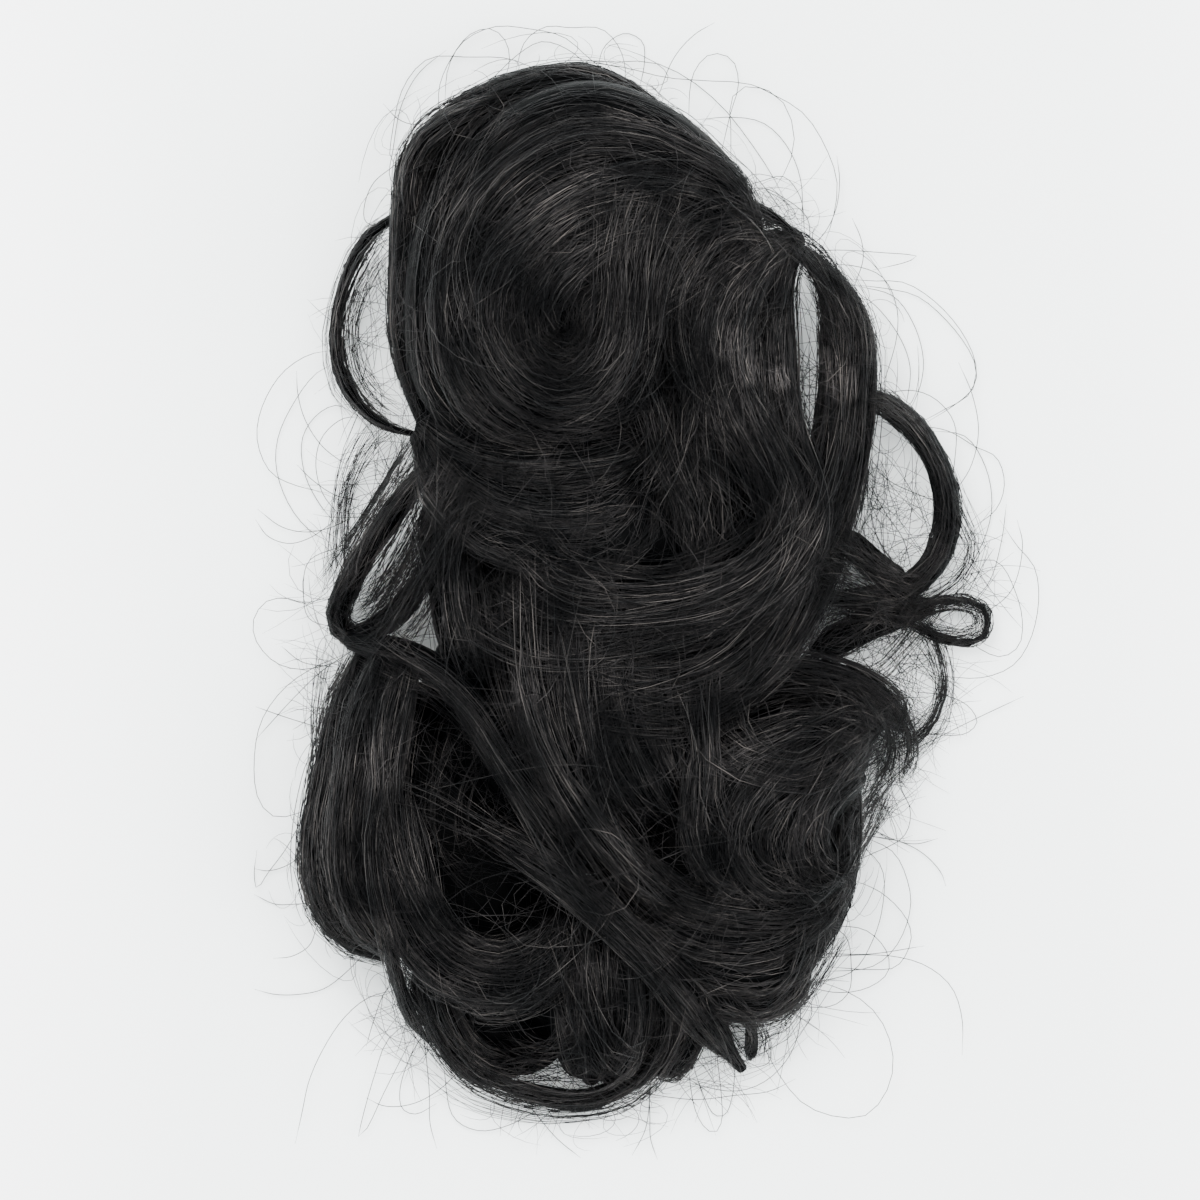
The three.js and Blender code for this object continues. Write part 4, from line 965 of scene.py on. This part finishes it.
WISPS = [
    wisp(3.2, 46, [[13.5, 84.5], [9.6, 81], [7.3, 77.5], [6.6, 74.5], [7.6, 70.5], [10.5, 67.8],
        [15, 65.5]]),
    wisp(2.6, 22, [[15, 86], [9, 83.5], [5.6, 79], [4.2, 74.5], [5.8, 69.5], [10, 66.5]]),
    wisp(0.7, 26, [[17, 65.4], [13.4, 62], [10.4, 58.9], [7.4, 55.8], [5.6, 54], [5, 52.6]]),
    wisp(3, 40, [[12.5, 66.8], [8.4, 63.4], [6, 59.4], [5.4, 55.5], [5.4, 50]]),
    wisp(5, 60, [[19, 64.2], [14.6, 60.6], [10.6, 56.6], [7.4, 52.4], [5.2, 48.4]]),
    wisp(6, 130, [[25, 60], [21.4, 56.6], [18, 53.6], [14.6, 50.4], [11, 47.6], [7.5, 46]]),
    wisp(5, 90, [[23, 62.5], [20.2, 59.4], [17.2, 56.6], [14.6, 53.6], [11.6, 50.2], [9, 47.6]]),
    wisp(5, 90, [[20.5, 58], [20, 54], [18, 50.6], [15, 48], [11.6, 46.4]]),
    wisp(5, 18, [[11, 33.5], [18, 31.3], [24, 28.8], [30, 26.5], [37, 23.3]]),
    wisp(2.4, 80, [[79.5, 68], [82.5, 68.6], [86.5, 67.3], [90.2, 64.7], [92.9, 61.3],
        [93.8, 57.5], [92.5, 53.7], [89.3, 51.1], [85, 49.8]]),
    wisp(3, 26, [[92.5, 62], [95.3, 58.5], [97, 56.5], [98.3, 54.5], [97.7, 52.5], [95.5, 50.5],
        [92, 48.8], [87, 47]]),
    wisp(3, 30, [[93, 50], [90, 47], [87, 44.5], [84, 42.5], [79, 41]]),
    wisp(2.5, 22, [[78, 56], [83, 52], [88, 48.5], [92, 46.5]]),
    wisp(6, 110, [[75, 54], [79, 52.6], [83, 51.2], [87, 49.6], [90, 48.6]]),
    wisp(5, 100, [[74, 48.6], [78.5, 48.8], [83, 48.8], [87.5, 48.4], [91.5, 49]]),
    wisp(1.6, 34, [[86, 47.4], [90, 48.3], [94, 48.9], [97.4, 48.6], [98.9, 47.4], [97.6, 46],
        [94.4, 45.9], [91, 46.5], [87, 47.8]]),
    wisp(1, 26, [[89, 47.8], [91.8, 45.5], [93.2, 42.5], [93.2, 40], [92, 37.8], [89.5, 35.9],
        [86, 34.5]]),
    wisp(3, 20, [[89, 47.8], [91.8, 45.5], [93.4, 42.5], [93.3, 40], [92, 37.5], [89.5, 35.7],
        [86, 34.5]]),
    wisp(1.6, 44, [[76, 43], [80, 42], [84, 40.6], [87.2, 38.2], [88.6, 35.6], [88, 32.8],
        [86, 31.5]]),
    wisp(1.2, 40, [[78, 41], [82, 39.6], [84.6, 37.6], [85.6, 35.2], [85, 32.8], [83, 31.6]]),
    wisp(4, 30, [[80, 41], [83.4, 39], [86, 37], [86.6, 34.5], [85, 31.5]]),
    wisp(3, 30, [[74, 42], [80, 40], [85, 37], [89, 36.5], [91.5, 38.5]]),
    wisp(9, 150, [[26, 52.5], [30, 53.6], [36, 51.2], [43, 50], [52, 50], [60, 51.5], [67, 54.5],
        [71, 58.5], [72.5, 63]]),
    wisp(8, 150, [[24, 51], [28, 49.6], [33, 47], [40, 46], [50, 46.6], [60, 48], [67, 50.4],
        [72, 54], [75, 59], [77, 64]]),
    wisp(6, 90, [[40, 44], [46, 43], [53, 43], [60, 44.5], [66, 48], [71, 52.2], [75, 57]]),
    wisp(6, 100, [[40, 39.5], [47, 38.4], [55, 38], [62, 39.5], [67, 42.5], [71.5, 46.5], [75, 51],
        [77, 56]]),
    wisp(3, 34, [[23, 60], [22, 55], [21.6, 50], [23, 45], [26, 41]]),
    wisp(7, 90, [[31, 54], [31.5, 47], [32, 42.5], [34, 37], [37, 32.5], [40.5, 28.5], [45, 24.5],
        [50, 20.5], [56, 17]]),
    wisp(5, 70, [[40, 49], [41, 43], [42.3, 38], [44, 33.5], [47.5, 29], [53, 25]]),
    wisp(5, 60, [[7, 46.5], [13, 44], [20, 41.6], [25, 38.5], [29, 34.5], [33.5, 30.3], [38, 26.2],
        [43, 22], [48, 18]]),
    wisp(5, 60, [[22, 29], [27, 27], [33, 24.8], [40, 22], [45.5, 19], [51, 15.5], [57, 11],
        [63, 5]]),
    wisp(4, 60, [[57, 44], [57.8, 39], [58.6, 34], [58.4, 29.5], [60.5, 25.5]]),
    wisp(6, 80, [[58, 39], [61.5, 35.5], [67, 33.5], [73, 33], [79, 35.5], [84, 38]]),
    wisp(5, 70, [[84, 38.5], [79, 35.2], [75, 31], [73.2, 27.5], [74.5, 23.5], [78.5, 21.6]]),
    wisp(5, 60, [[75, 36], [69, 33.5], [64.5, 30], [63, 26.5], [65.2, 23.3], [70, 21.3],
        [75, 21.7]]),
    wisp(2.5, 40, [[85.5, 31], [83.2, 28], [80.5, 25.2], [77.5, 23]]),
    wisp(3, 40, [[86, 34], [83.5, 31], [80.5, 28.7], [79, 25.5], [80.5, 22.7]]),
    wisp(4, 40, [[5.8, 45], [3.6, 39], [3.2, 33], [2, 28], [2.3, 23], [5.5, 18.5]]),
    wisp(3, 34, [[11, 44], [7.6, 38], [6.5, 32], [6, 27], [6.8, 22], [10, 18], [13.5, 15.5]]),
    wisp(3, 40, [[12.5, 42], [11.6, 35], [12, 31], [11, 27], [11.6, 22], [13.5, 17], [16, 11]]),
    wisp(5, 60, [[16, 43], [13.5, 36], [13.5, 29], [16, 22.5], [20.5, 17.6], [27, 15], [33, 15.5],
        [38, 18]]),
    wisp(2, 18, [[22, 38], [19.5, 33], [19, 27.5], [22, 23], [28, 20.5]]),
    wisp(2, 16, [[33, 38], [27, 35], [23.5, 30], [24, 25.5], [29, 22.5]]),
    wisp(5, 50, [[24, 14], [26, 10.6], [30, 10.2], [34, 11.5], [38, 15]]),
    wisp(4, 40, [[17, 15], [19, 10.5], [22, 6.8], [26.5, 4.2], [32, 3.2], [37, 3.6]]),
    wisp(4.5, 60, [[21, 7.5], [25, 3.6], [31, 1.6], [38, 0.6], [45, 1.2], [50, 3.4], [53, 7],
        [54, 12]]),
    wisp(6, 70, [[39, 20], [40.5, 14], [42, 9], [44.5, 5.2], [48, 3.4], [53, 3.6]]),
    wisp(3, 40, [[13.2, 18], [14.2, 13.5], [15.6, 10.4], [18, 7.2]]),
    wisp(2.4, 40, [[57, 11.5], [61, 8], [63.5, 5.2], [65.3, 3.9]]),
    wisp(3, 34, [[60, 11], [64.4, 9.2], [66.3, 7.2], [65.6, 4.4]]),
    wisp(6, 60, [[62, 10], [67, 9.6], [71.5, 11.8], [74.5, 15], [77, 19]]),
    wisp(8, 120, [[51, 90], [48.4, 85.6], [46.8, 81], [46.2, 76.4], [44.4, 72], [39.6, 68.9],
        [33, 68.6]]),
    wisp(8, 110, [[56, 87.6], [52, 84], [49.8, 79.6], [49, 75], [46.6, 70.6], [41.6, 67.4]]),
    wisp(7, 110, [[35, 83.4], [30.6, 79.4], [30, 75], [33, 71], [38.4, 69.2], [43.4, 70.6],
        [45.6, 74.6]]),
    wisp(5, 80, [[45, 82.4], [40, 82.4], [35.8, 79.8], [34.2, 76.4], [36, 73.4], [39.6, 73],
        [42, 75.4]]),
    wisp(7, 100, [[71, 84.4], [64, 85.2], [57, 83.4], [53.2, 79.4], [52.6, 74], [54.6, 68.6],
        [58.6, 63]], root=0.4),
    wisp(8, 110, [[54, 73], [53, 68], [54.5, 62.5], [58, 58], [60.5, 53]]),
    wisp(7, 60, [[57, 73], [56.6, 68], [58, 63], [59, 58], [58.5, 53]]),
    wisp(6, 70, [[47, 60], [51.5, 62.5], [54, 66.5], [53.5, 71]]),
    wisp(8, 70, [[20, 76], [26, 79.5], [34, 84], [43, 87.5], [53, 88.5], [62, 86.5]]),
    wisp(8, 70, [[33, 96], [26, 91.5], [22, 85], [21, 78], [24, 71], [30, 66.5]]),
    wisp(2.5, 26, [[59, 88.3], [63.3, 86.8], [67.2, 85.4], [71, 84]]),
    wisp(8, 170, [[72, 84], [68, 82.4], [63.4, 79.2], [60.6, 75], [60.8, 70], [63.4, 65.4],
        [67, 61], [69.3, 56.5]], root=0.3),
    wisp(6, 110, [[72, 84], [67, 83.8], [61.6, 81.6], [57.8, 77.6], [56.8, 73],
        [58.6, 68]], root=0.3),
    wisp(4, 60, [[68.5, 84.2], [72.5, 82.9], [75.8, 80.5], [78, 77], [79, 72.5]], root=0.5),
    wisp(7, 110, [[72, 83.2], [76, 80], [78.8, 75.5], [79.3, 70], [78.6, 64], [76.5, 58],
        [73.5, 52.5]], root=0.3),
    wisp(6, 110, [[72, 83.6], [68.6, 80.8], [66.4, 76.4], [66, 71.4], [67.2, 67.4],
        [69.4, 63.5]], root=0.35),
    wisp(8, 120, [[58, 35.5], [65, 37.2], [72, 38.8], [79, 38.6], [84, 37.2], [87, 34.3]]),
    wisp(6, 80, [[66, 41], [73, 41.5], [80, 40.6], [84.5, 38.9], [87.4, 36.4]]),
    wisp(6, 70, [[28, 5.6], [32, 5.2], [37, 5.4], [42, 7]]),
    wisp(5, 60, [[71.3, 83.3], [69, 78], [68.8, 74], [69.4, 69.5], [71.2, 65.5],
        [73, 61.5]], root=0.3),
]
print(len(WISPS), "wisps with", sum(row["hairs"] for row in WISPS), "hairs")


# %% Lay wisps on the locks
WISP_RADIUS = 0.00009


def bridged(z, passes=10):
    """Heights along hairs, lifted so that they span hollows as a taut fibre does."""
    for _ in range(passes):
        middle = (z[:, :-2] + z[:, 2:]) / 2
        z[:, 1:-1] = np.maximum(z[:, 1:-1], z[:, 1:-1] * 0.4 + middle * 0.6)
    return z


def wisp_strands(wisp):
    """Lines of hairs that gather in the middle of a wisp and spread towards its ends."""
    flat = places([[u, v, 0] for u, v in wisp["path"]])
    line, length = smooth_path(flat)
    steps, count = int(np.clip(length / 0.0075, 8, 21)), wisp["hairs"]
    t = spans(count, steps)
    tangent = unit(np.gradient(line, axis=0))
    side = np.stack([tangent[:, 1], -tangent[:, 0], tangent[:, 2] * 0], axis=1)
    off = (rng.uniform(-0.5, 0.5, count)[:, None]
           + rng.normal(0, 0.22, count)[:, None] * (t - 0.5) * 2)
    narrow = wisp["root"] + (1 - wisp["root"]) * np.clip(t / 0.3, 0, 1)
    fray = narrow * (1 + 0.9 * np.abs(t - 0.5) * rng.uniform(0, 2, count)[:, None])
    curl = rng.normal(0, 0.35, count)[:, None] * (2 * t - 1) ** 3
    apart = (off * fray + curl * narrow) * wisp["width"] * SIZE[0]
    points = between(line, t) + between(side, t) * apart[..., None]
    z = height_at(points[..., 0], points[..., 1]) + rng.gamma(2, 0.0005, count)[:, None] + 0.0003
    points[..., 2] = bridged(z)
    return points


groups = [finished(wisp_strands(row), WISP_RADIUS) for row in WISPS]
print("wisp triangles:", add_strands("wisps", groups))

# %% [markdown]
# ## Stray hairs
# Over a real hairpiece single hairs cross the locks in every direction, and round its outline they
# stand out in wide curls. They could be scattered at random in space, but a hair lies on what is
# under it, so each is drawn flat and then laid on the measured heights.

# %% Hairs that cross the locks
CROSSING_HAIRS = 1250
CROSSING_STEPS = 11
THIN_RADIUS = 0.00008


def crossing_hairs(count):
    """Curved hairs at chance places, laid over the locks."""
    inside = np.argwhere(heights > 0.012)
    start = inside[rng.integers(0, len(inside), count)][:, ::-1] * GRID + grid_low
    heading = rng.uniform(0, 2 * math.pi, count)
    length = rng.uniform(0.015, 0.075, count)
    bend = rng.normal(0, 1, count) * 34
    change = rng.normal(0, 1, count) * 400
    s = np.linspace(0, 1, CROSSING_STEPS)[None] * length[:, None]
    angle = heading[:, None] + bend[:, None] * s + change[:, None] * s ** 2
    step = length[:, None] / (CROSSING_STEPS - 1)
    x = start[:, 0:1] + np.cumsum(np.cos(angle) * step, axis=1)
    y = start[:, 1:2] + np.cumsum(np.sin(angle) * step, axis=1)
    z = height_at(x, y) + rng.uniform(0.0008, 0.0025, count)[:, None]
    line = np.stack([x, y, bridged(np.maximum(z, 0.002), 14)], axis=-1)
    return line[(height_at(x, y) > 0.004).mean(axis=1) > 0.8]


crossing = finished(crossing_hairs(CROSSING_HAIRS), THIN_RADIUS, 0.85)
print("crossing hairs:", len(crossing[0]), "triangles:", add_strands("crossing_hairs", [crossing]))

# %% [markdown]
# ## Curls round the outline
# The hairs that stand off the outline are what the eye sees first on a pale table. The longest are
# drawn one by one from above. Shorter ones are left to chance: the outline is walked once round,
# and here and there a hair leaves it and comes back. All of them sink to the table under their
# weight.

# %% The table of long curls
LONG_CURLS = [
    [[5, 73.2], [1, 72.8], [-3, 71], [-6, 67.5], [-6.5, 64.5], [-4.5, 61.5], [-1, 60.3],
        [4, 59.5]],
    [[5, 72], [2, 71], [-1, 68.5], [-3.5, 65], [-3.8, 62], [-2, 58.5], [1, 56], [5, 54.5]],
    [[-0.8, 71.3], [-0.6, 69], [0.5, 66.5], [3, 64], [7, 62]],
    [[8, 67], [5, 68], [2, 67], [0, 64.8], [0.3, 61.5], [2.5, 58.5], [5, 56.5]],
    [[9, 66.8], [6, 66.7], [3, 65], [2, 62.5], [3, 59.5], [6, 57]],
    [[-6.5, 58], [-3, 56.3], [0.5, 55.8], [4, 56.2], [8, 57.5]],
    [[-6.8, 57], [-5, 55.4], [-2, 54.7], [1, 55.2], [5, 57]],
    [[-0.8, 62.3], [1.5, 60.8], [5, 59.3], [9, 58.8]],
    [[6, 54.5], [1, 53], [0.2, 50], [1, 47.5], [5, 46.6]],
    [[6, 50], [0.5, 49], [-2, 49.4], [-5, 49.2], [-7, 47.5], [-6.8, 45.5], [-4, 43.3],
        [-0.5, 42.6], [3, 42.9], [8, 44]],
    [[-3, 44.8], [0, 43.3], [5, 42.8]],
    [[9, 45], [3, 42.5], [-1, 40], [-4.5, 37.5], [-6.8, 35.8]],
    [[-6.8, 39], [-2, 37.9], [5, 36.5]],
    [[8, 44.5], [1, 42.5], [-3, 40.5], [-6, 37.5], [-7, 33.5], [-6.4, 30.2], [-4.5, 28.6],
        [-2, 28.5], [3, 30]],
    [[2, 26], [-2, 23.8], [-5, 23.2], [-7, 23.4]],
    [[4, 20.5], [-1, 20], [-4, 20], [-7, 20.9]],
    [[3, 31], [-0.5, 27.5], [-2.5, 25.2], [-5, 23], [-6.6, 21.5], [-7, 22.8], [-6.6, 25.2]],
    [[4, 20.5], [2.2, 17.8], [1, 16], [-1.5, 15], [-4.2, 14.8]],
    [[10, 16], [6, 13.2], [3, 11.8], [-0.5, 11.3], [-4, 11.3], [-7, 11.8]],
    [[15, 12.3], [9.5, 11], [6, 9], [3, 6], [1, 3], [0, 0], [-1, -3]],
    [[14, 13], [12, 11.5], [10.5, 9], [9.3, 6.3]],
    [[17, 9.5], [12.5, 7], [10.5, 3.5], [8.6, -1], [8.2, -2.4], [9.2, -1.8], [12, 2], [17, 8.5]],
    [[18, 8], [15.5, 5], [14.2, 2], [14.6, 0.3], [16.5, -0.2], [19.5, 0.8]],
    [[9.3, 1.4], [12, 0.6], [16, 0.8], [20, 2.2], [24, 5]],
    [[5, 37], [1, 34], [-0.5, 31], [-1.5, 27], [-1.7, 23.5], [-1.2, 20.6]],
    [[16, 88], [13, 89.5], [13.3, 93], [14.5, 97], [17, 100], [21, 102.2]],
    [[17, 92], [13.3, 91], [13.3, 95], [15, 99], [18.5, 101.4], [24, 101.5], [30, 101.2],
        [36, 99]],
    [[11.8, 97], [14, 95.5], [17, 94.8], [20, 95], [26, 96]],
    [[20.5, 94], [20, 98.5], [21.8, 101.5], [24.5, 103.7], [27.5, 104.2], [29.6, 103],
        [30.2, 100.8], [29, 97.5]],
    [[20.8, 96.5], [21.3, 100.5], [23.5, 103], [28, 104.4], [33, 104.2], [38, 103.4], [42, 101],
        [46, 98.5]],
    [[24, 96], [27.5, 99], [31.5, 101.8], [35, 103], [39, 102], [43.5, 98.5]],
    [[31, 99], [32.5, 103], [35.5, 104.4], [39, 104.3], [43.5, 104.2], [46, 102.5], [47, 100],
        [46.5, 97]],
    [[42.8, 99], [44, 102.5], [47, 103.8], [49.5, 103], [49.8, 101], [48.8, 97.5]],
    [[20, 96], [28, 99], [37, 101], [45, 101], [51, 101], [56, 99.5], [61, 96.8], [65, 93.5],
        [68.5, 90], [71.5, 86]],
    [[30, 98.5], [38, 100.6], [46, 100.5], [53, 99.5], [59, 99.2], [65, 98.9], [69.5, 97.5],
        [71.5, 94.5], [71, 91.5], [67, 87]],
    [[56, 94], [57, 100], [59.5, 101.8], [62.5, 101.3], [63.5, 99], [62.3, 96], [60.5, 91]],
    [[60, 104.8], [57, 103.6], [54, 101.3], [51.5, 97]],
    [[62, 88.5], [62.3, 94], [62.5, 97.5], [65, 98.7], [69, 97.7], [73, 96], [76, 93],
        [77.8, 89.5], [77.2, 86], [75, 82]],
    [[56, 95], [62, 95.7], [67, 95.2], [70.5, 93], [72.6, 89.5], [72.5, 84]],
    [[61, 87.5], [67, 89.5], [70, 90], [72.5, 88], [73, 83.5]],
    [[62, 87.5], [67, 88.8], [70, 88], [73.5, 86], [73.7, 82.5]],
    [[51, 97], [56, 96], [61, 93], [66, 90], [71, 85.5]],
    [[15, 91.5], [10.5, 89.5], [9, 87], [9.3, 85.6], [12, 84.9]],
    [[71, 82.5], [75, 83.8], [77.5, 86.5], [78.2, 89.5], [77.8, 92]],
    [[72, 82.5], [78, 82.9], [84, 82.7], [89.5, 82.3], [88, 81.8], [83, 81]],
    [[80, 86], [81.3, 84], [81.6, 82], [80, 79]],
    [[78, 80], [83, 79.9], [87.5, 79.8], [92, 78], [96, 75], [98, 72], [97.8, 69.8], [95.5, 68.3],
        [90, 66]],
    [[79, 79.5], [85, 79.2], [89.5, 78.5], [94, 76], [97.3, 73], [98.1, 71.2], [97, 69],
        [93.5, 67.6], [89, 66]],
    [[80, 79.5], [86, 78.5], [89, 75.8], [90.4, 72.5], [90, 70], [88, 67]],
    [[76, 81.5], [81, 81.3], [84.5, 80.3], [86.5, 77.5], [86.5, 74.5], [84, 69]],
    [[80, 79], [83.5, 77.5], [87, 74.5], [88.5, 71.5], [87.5, 67]],
    [[95.5, 72.1], [97.5, 69], [98.4, 65.5], [97.2, 62], [94, 59]],
    [[84, 69], [89, 69.4], [92.5, 68.4], [95, 66], [94.3, 60]],
    [[89, 66], [94, 65.5], [98, 64], [101, 63], [102.2, 60.5], [101, 58], [97, 56]],
    [[91, 65.5], [96.5, 65], [99.5, 62], [100.4, 58.5], [99.5, 55.5], [96, 51]],
    [[101.5, 57], [104, 54.5], [106.5, 52.5], [107.2, 49.5], [106, 45.5], [103.5, 43], [99, 41.8],
        [92, 42]],
    [[95, 52.5], [101, 53], [103.8, 50], [104.8, 47], [104.2, 44.8], [101.5, 43.8], [95, 46]],
    [[104, 57], [104.8, 54.5], [103, 50], [98, 47.5]],
    [[102.5, 58.5], [101.8, 55], [100, 51], [97, 48.8]],
    [[83, 62], [86, 60.5], [89, 59.6], [93, 58.5]],
    [[82, 61], [85, 57.5], [87.5, 55], [88.7, 51.5]],
    [[88, 40.5], [94, 40], [97, 39], [98.2, 37.5], [96.5, 36.4], [90, 36.4]],
    [[83, 33], [91, 35.5], [97, 37.5], [105, 40]],
    [[82, 27.5], [87, 26], [89.5, 25.8], [92.5, 26.3]],
    [[80, 26.8], [87, 26], [90.5, 24.8], [93, 23], [93.7, 21.7]],
    [[80, 27], [86, 25], [88.2, 22], [88.5, 19.5], [86.5, 16], [83, 14], [75, 13.5]],
    [[79, 22.8], [84.5, 21], [88, 18.5], [88.6, 16.5], [86.5, 14], [83, 13.7], [76, 14]],
    [[80, 26.5], [84.3, 23.5], [84.5, 20], [83, 16.5], [80, 13.5], [73, 12.5]],
    [[75.5, 18.2], [82, 17.5], [85, 15.5], [85.3, 13.5], [82.5, 12], [78, 11.5], [72, 12.5]],
    [[75, 18.5], [79, 17], [79.9, 14], [79.5, 11.5], [77, 10.2], [70, 10.5]],
    [[73, 15.5], [82, 15.2], [90.5, 16]],
    [[73, 15], [86, 15], [91, 14], [94.5, 12], [96, 9], [96, 5.5]],
    [[72, 13.5], [81, 11], [84.5, 8.5], [86, 5], [85, 2], [82, -0.3], [77.5, -0.4], [73, 0.8],
        [69.5, 3.5], [66, 8]],
    [[72, 13], [72.4, 8.5], [71, 5.5], [67.5, 3], [63, 2], [55, 3]],
    [[65.5, 9.5], [67.9, 6.5], [67.9, 4.8], [65, 4.2]],
    [[71.8, 3.2], [68, 2], [63, 1.6], [57, 1.2], [48, 2]],
    [[56, 5], [57.2, 0.2], [58.6, -1.5], [60, -2], [61, -1], [61, 1.5], [60, 7]],
    [[63, 5.5], [62.6, 1.5], [61.5, -0.3], [60, -0.3], [57, 4]],
    [[50.4, 4], [50.6, -0.5], [50.7, -2.6], [51.7, -4.6]],
    [[50.8, 4], [50, -1.5], [48, -4.2]],
    [[32, 1.5], [37, -2.5], [40.5, -4.4]],
    [[20.5, 5], [22, -0.5], [25.5, -1.8], [30, -1.3], [36, 1]],
    [[17.5, 9], [18.5, 2], [18.6, -1], [19.6, -3.5]],
    [[87, 35], [87, 31.5], [88.5, 29], [87.5, 26.5], [79, 24]],
]
CURL_RADIUS = 0.00014


def laid_down(flat, lift):
    """Flat lines in metres, laid on what is under them with a little air."""
    z = height_at(flat[..., 0], flat[..., 1])
    z = np.maximum(z * (z > 0.003) * 0.9 + lift, 0.0008)
    return np.dstack([flat, bridged(z, 8)])


curls = []
for path in LONG_CURLS:
    curl = smooth_path(places([[u, v, 0] for u, v in path]), 22)[0][None, :, :2]
    curls.append(laid_down(curl, rng.uniform(0.001, 0.004)))
curls = np.vstack(curls)
tones = rng.random(len(curls)) * 0.7
made = add_strands("long_curls", [(curls, np.full(len(curls), CURL_RADIUS), tones)])
print(len(LONG_CURLS), "long curls, triangles:", made)

# %% Nets of fine hair in the loops and beside the locks
NETS = [  # across, along, half across, half along, hairs
    [86, 57, 5.5, 4.5, 70], [97, 52, 3.5, 4, 32], [91, 41.5, 4.5, 5, 60], [85, 35, 4, 4, 40],
    [83, 30, 3, 3.5, 30], [10.5, 75, 4, 7, 60], [11, 61, 5, 5, 44], [3.5, 50, 2.5, 5, 24],
    [3, 40, 2.5, 5, 30], [15, 9, 3, 4, 30], [59.5, 3.5, 4.5, 2.5, 30], [68, 87.5, 5.5, 2.2, 16],
    [84, 45.5, 5, 1.6, 40], [85.6, 34.6, 2.2, 2.6, 30], [73, 70, 2, 5, 30], [34, 2.5, 8, 1.5, 30],
    [72, 12, 3, 4, 24], [25, 29, 8, 7, 70], [66, 27, 9, 7, 90], [50, 69, 10, 8, 70],
]


def net_hairs(across, along, half_across, half_along, count):
    """Short curved hairs that cross each other in one area."""
    steps = 9
    ring = rng.uniform(0, 2 * math.pi, count)
    out = np.sqrt(rng.random(count))
    start = places(np.stack([across + half_across * out * np.cos(ring),
                             along + half_along * out * np.sin(ring),
                             np.zeros(count)], axis=1))[:, :2]
    heading = rng.uniform(0, 2 * math.pi, count)
    length = rng.uniform(0.012, 0.042, count)
    s = (np.linspace(0, 1, steps)[None] - 0.5) * length[:, None]
    angle = heading[:, None] + rng.normal(0, 42, count)[:, None] * s
    step = length[:, None] / (steps - 1)
    flat = start[:, None] + np.stack([np.cumsum(np.cos(angle) * step, axis=1),
                                      np.cumsum(np.sin(angle) * step, axis=1)], axis=-1)
    flat -= (flat.mean(axis=1) - start)[:, None]
    return laid_down(flat, rng.uniform(0.001, 0.006, count)[:, None])


groups = [finished(net_hairs(*net), THIN_RADIUS, 0.75) for net in NETS]
print(sum(len(g[0]) for g in groups), "net hairs, triangles:", add_strands("net_hairs", groups))

# %% Short hairs along the outline
OUTLINE = [
    [62.5, 87.5], [60, 91], [55.5, 95], [50, 98], [44, 99.6], [38, 100], [30, 99], [23, 96],
    [18, 94], [15.5, 92], [14.3, 89], [13, 80], [13.5, 73], [16, 65], [9, 56], [5, 47], [6.5, 41],
    [3.5, 33], [0.8, 28], [0.2, 25], [1, 21.5], [6, 16.5], [13, 14], [17, 9], [23, 4.5], [32, 1.5],
    [43, 0.3], [52, 2.7], [59.5, 6.2], [65.5, 7.5], [73, 12], [74.5, 16.5], [80.5, 23], [80, 30],
    [84, 37], [88, 42], [88, 50], [84, 58], [83, 66], [83.5, 73], [80, 79.5], [73, 83.5],
    [67, 86.5], [62.5, 87.5],
]
OUTER_HAIRS = 420
OUTER_STEPS = 12

outline = smooth_path(places([[u, v, 0] for u, v in OUTLINE]), 720)[0][:, :2]


def outer_hairs(count):
    """Small curls that leave the outline and mostly return to it."""
    at = rng.integers(0, len(outline), count)
    start = outline[at]
    along = unit(np.roll(outline, -3, axis=0)[at] - np.roll(outline, 3, axis=0)[at])
    outward = np.stack([along[:, 1], -along[:, 0]], axis=1)
    outward *= np.sign(((start - outline.mean(axis=0)) * outward).sum(axis=1))[:, None]
    along *= rng.choice([-1, 1], count)[:, None]
    radius = np.minimum(rng.gamma(1.5, 0.0024, count) + 0.001, 0.0075)
    turn = rng.uniform(1.2, 3.8, count)
    s = np.linspace(0, 1, OUTER_STEPS)[None] * turn[:, None]
    out = radius[:, None] * (1 - np.cos(s)) - 0.003
    run = radius[:, None] * np.sin(s) * rng.uniform(1, 3.2, count)[:, None]
    flat = start[:, None] + outward[:, None] * out[..., None] + along[:, None] * run[..., None]
    return laid_down(flat, rng.uniform(0.001, 0.006, count)[:, None])


outer = finished(outer_hairs(OUTER_HAIRS), WISP_RADIUS, 0.8)
print("outer hairs:", len(outer[0]), "triangles:", add_strands("outer_hairs", [outer]))
